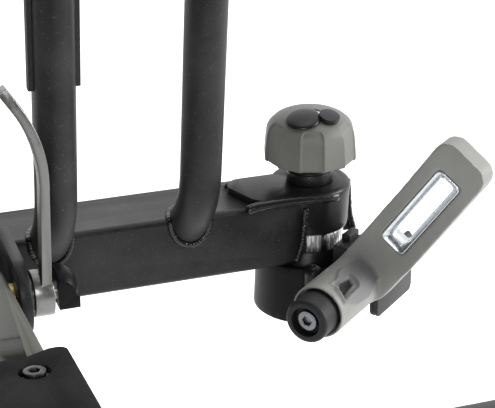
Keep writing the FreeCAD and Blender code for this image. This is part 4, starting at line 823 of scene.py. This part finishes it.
def foot_paths(across):
    """Where a leaning mast tube lands on the arm: over its top and down its front."""
    half = [math.pi * step / 24 for step in range(25)]
    top = [at_pivot(across + FOOT_REACH * math.cos(turn), ARM_FRONT + 20.6 * math.sin(turn), 25.8)
           for turn in half]
    front = [at_pivot(across + FOOT_REACH * math.cos(turn), ARM_FRONT - 0.5, 24.6 - 20.4 * math.sin(turn))
             for turn in half]
    return [top, front]


# Seams in millimetres off the pivot: arm to barrel in front and behind, plate to arm, and rib to barrel
ARM_SEAM = ((-12.6, -26.4, 20.0), (-13.6, -26.8, 6.0), (-15.0, -26.6, -8.0), (-19.0, -25.8, -22.0))
BACK_SEAM = ((-12.0, 26.2, 24.0), (-12.0, 26.2, -20.0))
PLATE_BACK_SEAM = ((-60.0, 17.4, 26.4), (-4.0, 17.4, 26.4))
RIB_SEAM = ((29.0, -4.0, 28.0), (30.6, -3.0, 14.0), (32.0, -2.0, 0.0), (36.0, -1.0, -14.0))
# The broad weld under the top plate's front edge
PLATE_SEAM = ((-57.0, -25.2, 24.2), (-50.0, -25.8, 26.0), (-44.0, -26.2, 26.8), (-30.0, -26.8, 27.4),
              (-14.0, -27.4, 27.2), (2.0, -27.6, 26.4), (12.0, -25.4, 26.0))
BROAD = 2.3
# The boss beside the cup: its place about the pivot, and the foot of its weld
BOSS_REACH, BOSS_TURN = 43.0, math.radians(254)
BOSS_FOOT, BOSS_RADIUS = -51.5, 7.0
# The weld of the knuckle over the cup
KNUCKLE_WELD = {"centre": (0.0, 0.0, -42.0), "radius": 29.0, "start": 130.0, "end": 330.0}
# Outline of the welded shoulder over the barrel: radius and height
SHOULDER = ((24.0, 31.05), (26.6, 31.15), (28.4, 30.8), (29.6, 29.9), (30.2, 28.4), (30.2, 26.0),
            (29.9, 22.0), (29.5, 14.0), (29.2, 5.0), (29.0, -1.2), (28.6, -2.4), (27.9, -2.9))
SHOULDER_START, SHOULDER_SWEEP, SHOULDER_STEPS = -128, 236, 72
# Dark block as painted shade in the gap of the index ring: its place about the pivot, and its sides off the
# pivot
NOTCH_TURN = math.radians(275)
NOTCH_IN, NOTCH_OUT, NOTCH_HALF = 22.0, 26.15, 1.7
NOTCH_LOW, NOTCH_TOP = -17.4, -3.1


def barrel_shoulder():
    """Open sleeve about the front and right of the barrel."""
    turns = [math.radians(SHOULDER_START + SHOULDER_SWEEP * step / SHOULDER_STEPS)
             for step in range(SHOULDER_STEPS + 1)]
    spots = [at_pivot(radius * math.cos(turn), radius * math.sin(turn), height)
             for turn in turns for radius, height in SHOULDER]
    rows = len(SHOULDER)
    faces = [(step * rows + row, step * rows + row + 1,
              (step + 1) * rows + row + 1, (step + 1) * rows + row)
             for step in range(SHOULDER_STEPS) for row in range(rows - 1)]
    return merged("barrel_shoulder", (spots, faces))


def ring_gap_shade():
    """Dark block that fills one gap of the index ring, as painted shade where the gap lies in shadow."""
    outline = [(Matrix.Rotation(NOTCH_TURN, 2) @ Vector(spot))[:] for spot in
               ((NOTCH_IN, -NOTCH_HALF), (NOTCH_OUT, -NOTCH_HALF), (NOTCH_OUT, NOTCH_HALF),
                (NOTCH_IN, NOTCH_HALF))]
    return merged("ring_gap_shade", extruded(outline, at_pivot, NOTCH_LOW, NOTCH_TOP))


class CARRIER_OT_welds(bpy.types.Operator):
    """Weld beads where the tubes, plates and barrel meet, and the smoothed shoulder over the barrel"""
    bl_idname = "carrier.welds"
    bl_label = "Weld beads"

    def execute(self, context):
        settings = context.scene.carrier
        tree = bead_tree()

        def beads(paths, rough, size=1.0, ripple=1.0):
            return tree.apply(path_curve("seams", paths), Width=settings.weld_width * size,
                              Ripple=settings.weld_ripple * ripple, Rough=rough)

        boss = (BOSS_REACH * math.cos(BOSS_TURN), BOSS_REACH * math.sin(BOSS_TURN), BOSS_FOOT)
        seams = [smooth_path(ARM_SEAM), line_path(*BACK_SEAM), line_path(*PLATE_BACK_SEAM),
                 ring_path(boss, BOSS_RADIUS)]
        seams += [path for across in TUBE_FEET for path in foot_paths(across)] + [smooth_path(RIB_SEAM)]
        parts = [(read_spots(mesh), [tuple(face.vertices) for face in mesh.polygons])
                 for mesh in (beads(seams, 0.55), beads([smooth_path(PLATE_SEAM)], 0.10, BROAD, 3))]
        finish_piece("arm_weld_beads", merged("arm_weld_beads", *parts), "fine_paint", "arm", finish="weld")
        finish_piece("barrel_shoulder", barrel_shoulder(), "fine_paint", "arm")
        # Dark block as painted shade in the gap of the index ring.
        finish_piece("ring_gap_shade", ring_gap_shade(), "black_plastic", "base")
        finish_piece("base_weld_beads", beads([ring_path(**KNUCKLE_WELD)], 0.4), "fine_paint", "base",
                     finish="weld")
        return {"FINISHED"}


COIL_LENGTH, COIL_RADIUS, COIL_WIRE = 6.2, 5.9, 0.6


class CARRIER_OT_spring(bpy.types.Operator):
    """Coil spring about the lever's shaft"""
    bl_idname = "carrier.spring"
    bl_label = "Latch spring"

    def execute(self, context):
        tree = Tree("Coil", Turns="Int", Length="Float", Radius="Float")
        radius = tree.start["Radius"]
        coil = tree.node("GeometryNodeCurveSpiral", Resolution=32, Rotations=tree.start["Turns"],
                         Start_Radius=radius, End_Radius=radius, Height=tree.start["Length"])
        ring = tree.node("GeometryNodeCurvePrimitiveCircle", Resolution=10, Radius=COIL_WIRE * MM)
        tree.end(tree.node("GeometryNodeCurveToMesh", Curve=coil, Profile_Curve=ring, Fill_Caps=True),
                 "spring_steel")
        mesh = tree.apply(bpy.data.meshes.new("seed"), Turns=context.scene.carrier.spring_turns,
                          Length=COIL_LENGTH * MM, Radius=COIL_RADIUS * MM)
        low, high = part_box("latch_spring")
        along_shaft = Matrix.Rotation(HUB_TURN, 4, "Z") @ Matrix.Rotation(-math.pi / 2, 4, "X")
        mesh.transform(Matrix.Translation((low + high) / 2) @ along_shaft
                       @ Matrix.Translation((0, 0, -COIL_LENGTH / 2 * MM)))
        finish_piece("latch_coil", mesh, "spring_steel", frame_body("latch_spring"), "latch_spring")
        return {"FINISHED"}


# The camera: its place in millimetres off the pivot, and its drop and turn in degrees
CAMERA_PLACE = (-398.3, -1012.1, 502.0)
CAMERA_DROP, CAMERA_TURN = 24.35, -19.07
LENS, SENSOR = 116.36, 36.0
# Name, place and target in metres, width in metres, and power in watts
SOFTBOXES = (("Top softbox", (0.3, -0.3, 1.6), (0.2, -0.3, 0.05), 1.0, 5.0),
             ("Front softbox", (-0.32, -1.61, 0.5), (0.28, -0.28, 0.05), 0.5, 9.0),
             ("Right softbox", (1.5, -0.75, 0.55), (0.28, -0.28, 0.08), 0.7, 22.0))
# The surroundings grow brighter along this direction, away from the camera and to its right
GLOW_WAY = (0.62, 0.70, 0.10)
GLOW_RAMP = {"From_Min": -0.35, "From_Max": 0.85, "To_Min": 0.07, "To_Max": 1.55}
GROUND_HEIGHT, GROUND_HALF = -0.42, 40.0
GROUND_GLOW = 0.85


class CARRIER_OT_stage(bpy.types.Operator):
    """Camera, lights and the white surroundings"""
    bl_idname = "carrier.stage"
    bl_label = "Set the stage"

    def execute(self, context):
        scene = context.scene
        self.camera(scene)
        self.surroundings(scene)
        self.ground(scene)
        for softbox in SOFTBOXES:
            self.light(scene, *softbox)
        scene.view_settings.view_transform = "Standard"
        return {"FINISHED"}

    def camera(self, scene):
        lens = bpy.data.cameras.new("Camera")
        lens.lens = LENS
        lens.sensor_width = SENSOR
        lens.clip_end = 50.0
        camera = bpy.data.objects.new("Camera", lens)
        camera.location = at_pivot(*CAMERA_PLACE)
        camera.rotation_euler = (math.radians(90 - CAMERA_DROP), 0.0, math.radians(CAMERA_TURN))
        scene.collection.objects.link(camera)
        scene.camera = camera

    def surroundings(self, scene):
        world = scene.world = bpy.data.worlds.new("Surroundings")
        world.use_nodes = True
        tree = world.node_tree
        way = add_node(tree, "ShaderNodeTexCoord").outputs["Generated"]
        lean = add_node(tree, "ShaderNodeVectorMath", {"operation": "DOT_PRODUCT"}, _0=way, _1=GLOW_WAY)
        glow = add_node(tree, "ShaderNodeMapRange", {"interpolation_type": "SMOOTHSTEP"},
                        Value=lean.outputs["Value"], **GLOW_RAMP)
        background = tree.nodes["Background"].inputs
        feed(tree, background["Strength"], glow.outputs["Result"])
        background["Color"].default_value = (1.0, 1.0, 1.0, 1.0)

    def ground(self, scene):
        """Pale ground well below the carrier, as the road under a hitch is, glowing as painted light."""
        mesh = bpy.data.meshes.new("ground")
        corners = [(x * GROUND_HALF, y * GROUND_HALF, GROUND_HEIGHT)
                   for x, y in ((-1, -1), (1, -1), (1, 1), (-1, 1))]
        mesh.from_pydata(corners, [], [(0, 1, 2, 3)])
        item = bpy.data.objects.new("ground", mesh)
        scene.collection.objects.link(item)
        sheet = Sheet("Pale ground")
        uneven = sheet.noise(3.0, 2.0).ramp(0.2, 0.8)
        # Painted light: the ground glows, dim in front of the carrier and full white behind it.
        depth = sheet.node("ShaderNodeSeparateXYZ", out=1, Vector=sheet.place).ramp(-0.5, 0.1)
        mesh.materials.append(sheet.set(
            Base_Color=sheet.blend(uneven, (0.78, 0.78, 0.78), (0.80, 0.80, 0.80)), Roughness=0.9,
            Emission_Color=sheet.blend(depth, (0.35, 0.35, 0.35), (1.0, 1.0, 1.0)),
            Emission_Strength=GROUND_GLOW))

    def light(self, scene, name, place, target, size, power):
        data = bpy.data.lights.new(name, "AREA")
        data.size = size
        data.energy = power
        item = bpy.data.objects.new(name, data)
        item.location = place
        item.rotation_euler = (Vector(target) - Vector(place)).to_track_quat("-Z", "Y").to_euler()
        scene.collection.objects.link(item)


class CARRIER_PT_panel(bpy.types.Panel):
    bl_idname = "CARRIER_PT_panel"
    bl_label = "Bike carrier"
    bl_space_type = "VIEW_3D"
    bl_region_type = "UI"
    bl_category = "Carrier"

    def draw(self, context):
        column = self.layout.column()
        for name in CarrierSettings.__annotations__:
            column.prop(context.scene.carrier, name)
        for item in OPERATORS:
            column.operator(item.bl_idname)


OPERATORS = (CARRIER_OT_finish, CARRIER_OT_knob, CARRIER_OT_cover, CARRIER_OT_lever, CARRIER_OT_opener,
             CARRIER_OT_housing, CARRIER_OT_welds, CARRIER_OT_spring, CARRIER_OT_stage)
CLASSES = (CarrierSettings,) + OPERATORS + (CARRIER_PT_panel,)


def register():
    for item in CLASSES:
        bpy.utils.register_class(item)
    bpy.types.Scene.carrier = PointerProperty(type=CarrierSettings)


def unregister():
    del bpy.types.Scene.carrier
    for item in reversed(CLASSES):
        bpy.utils.unregister_class(item)


def main():
    register()
    for item in OPERATORS:
        group, name = item.bl_idname.split(".")
        getattr(getattr(bpy.ops, group), name)()


if __name__ == "__main__":
    main()
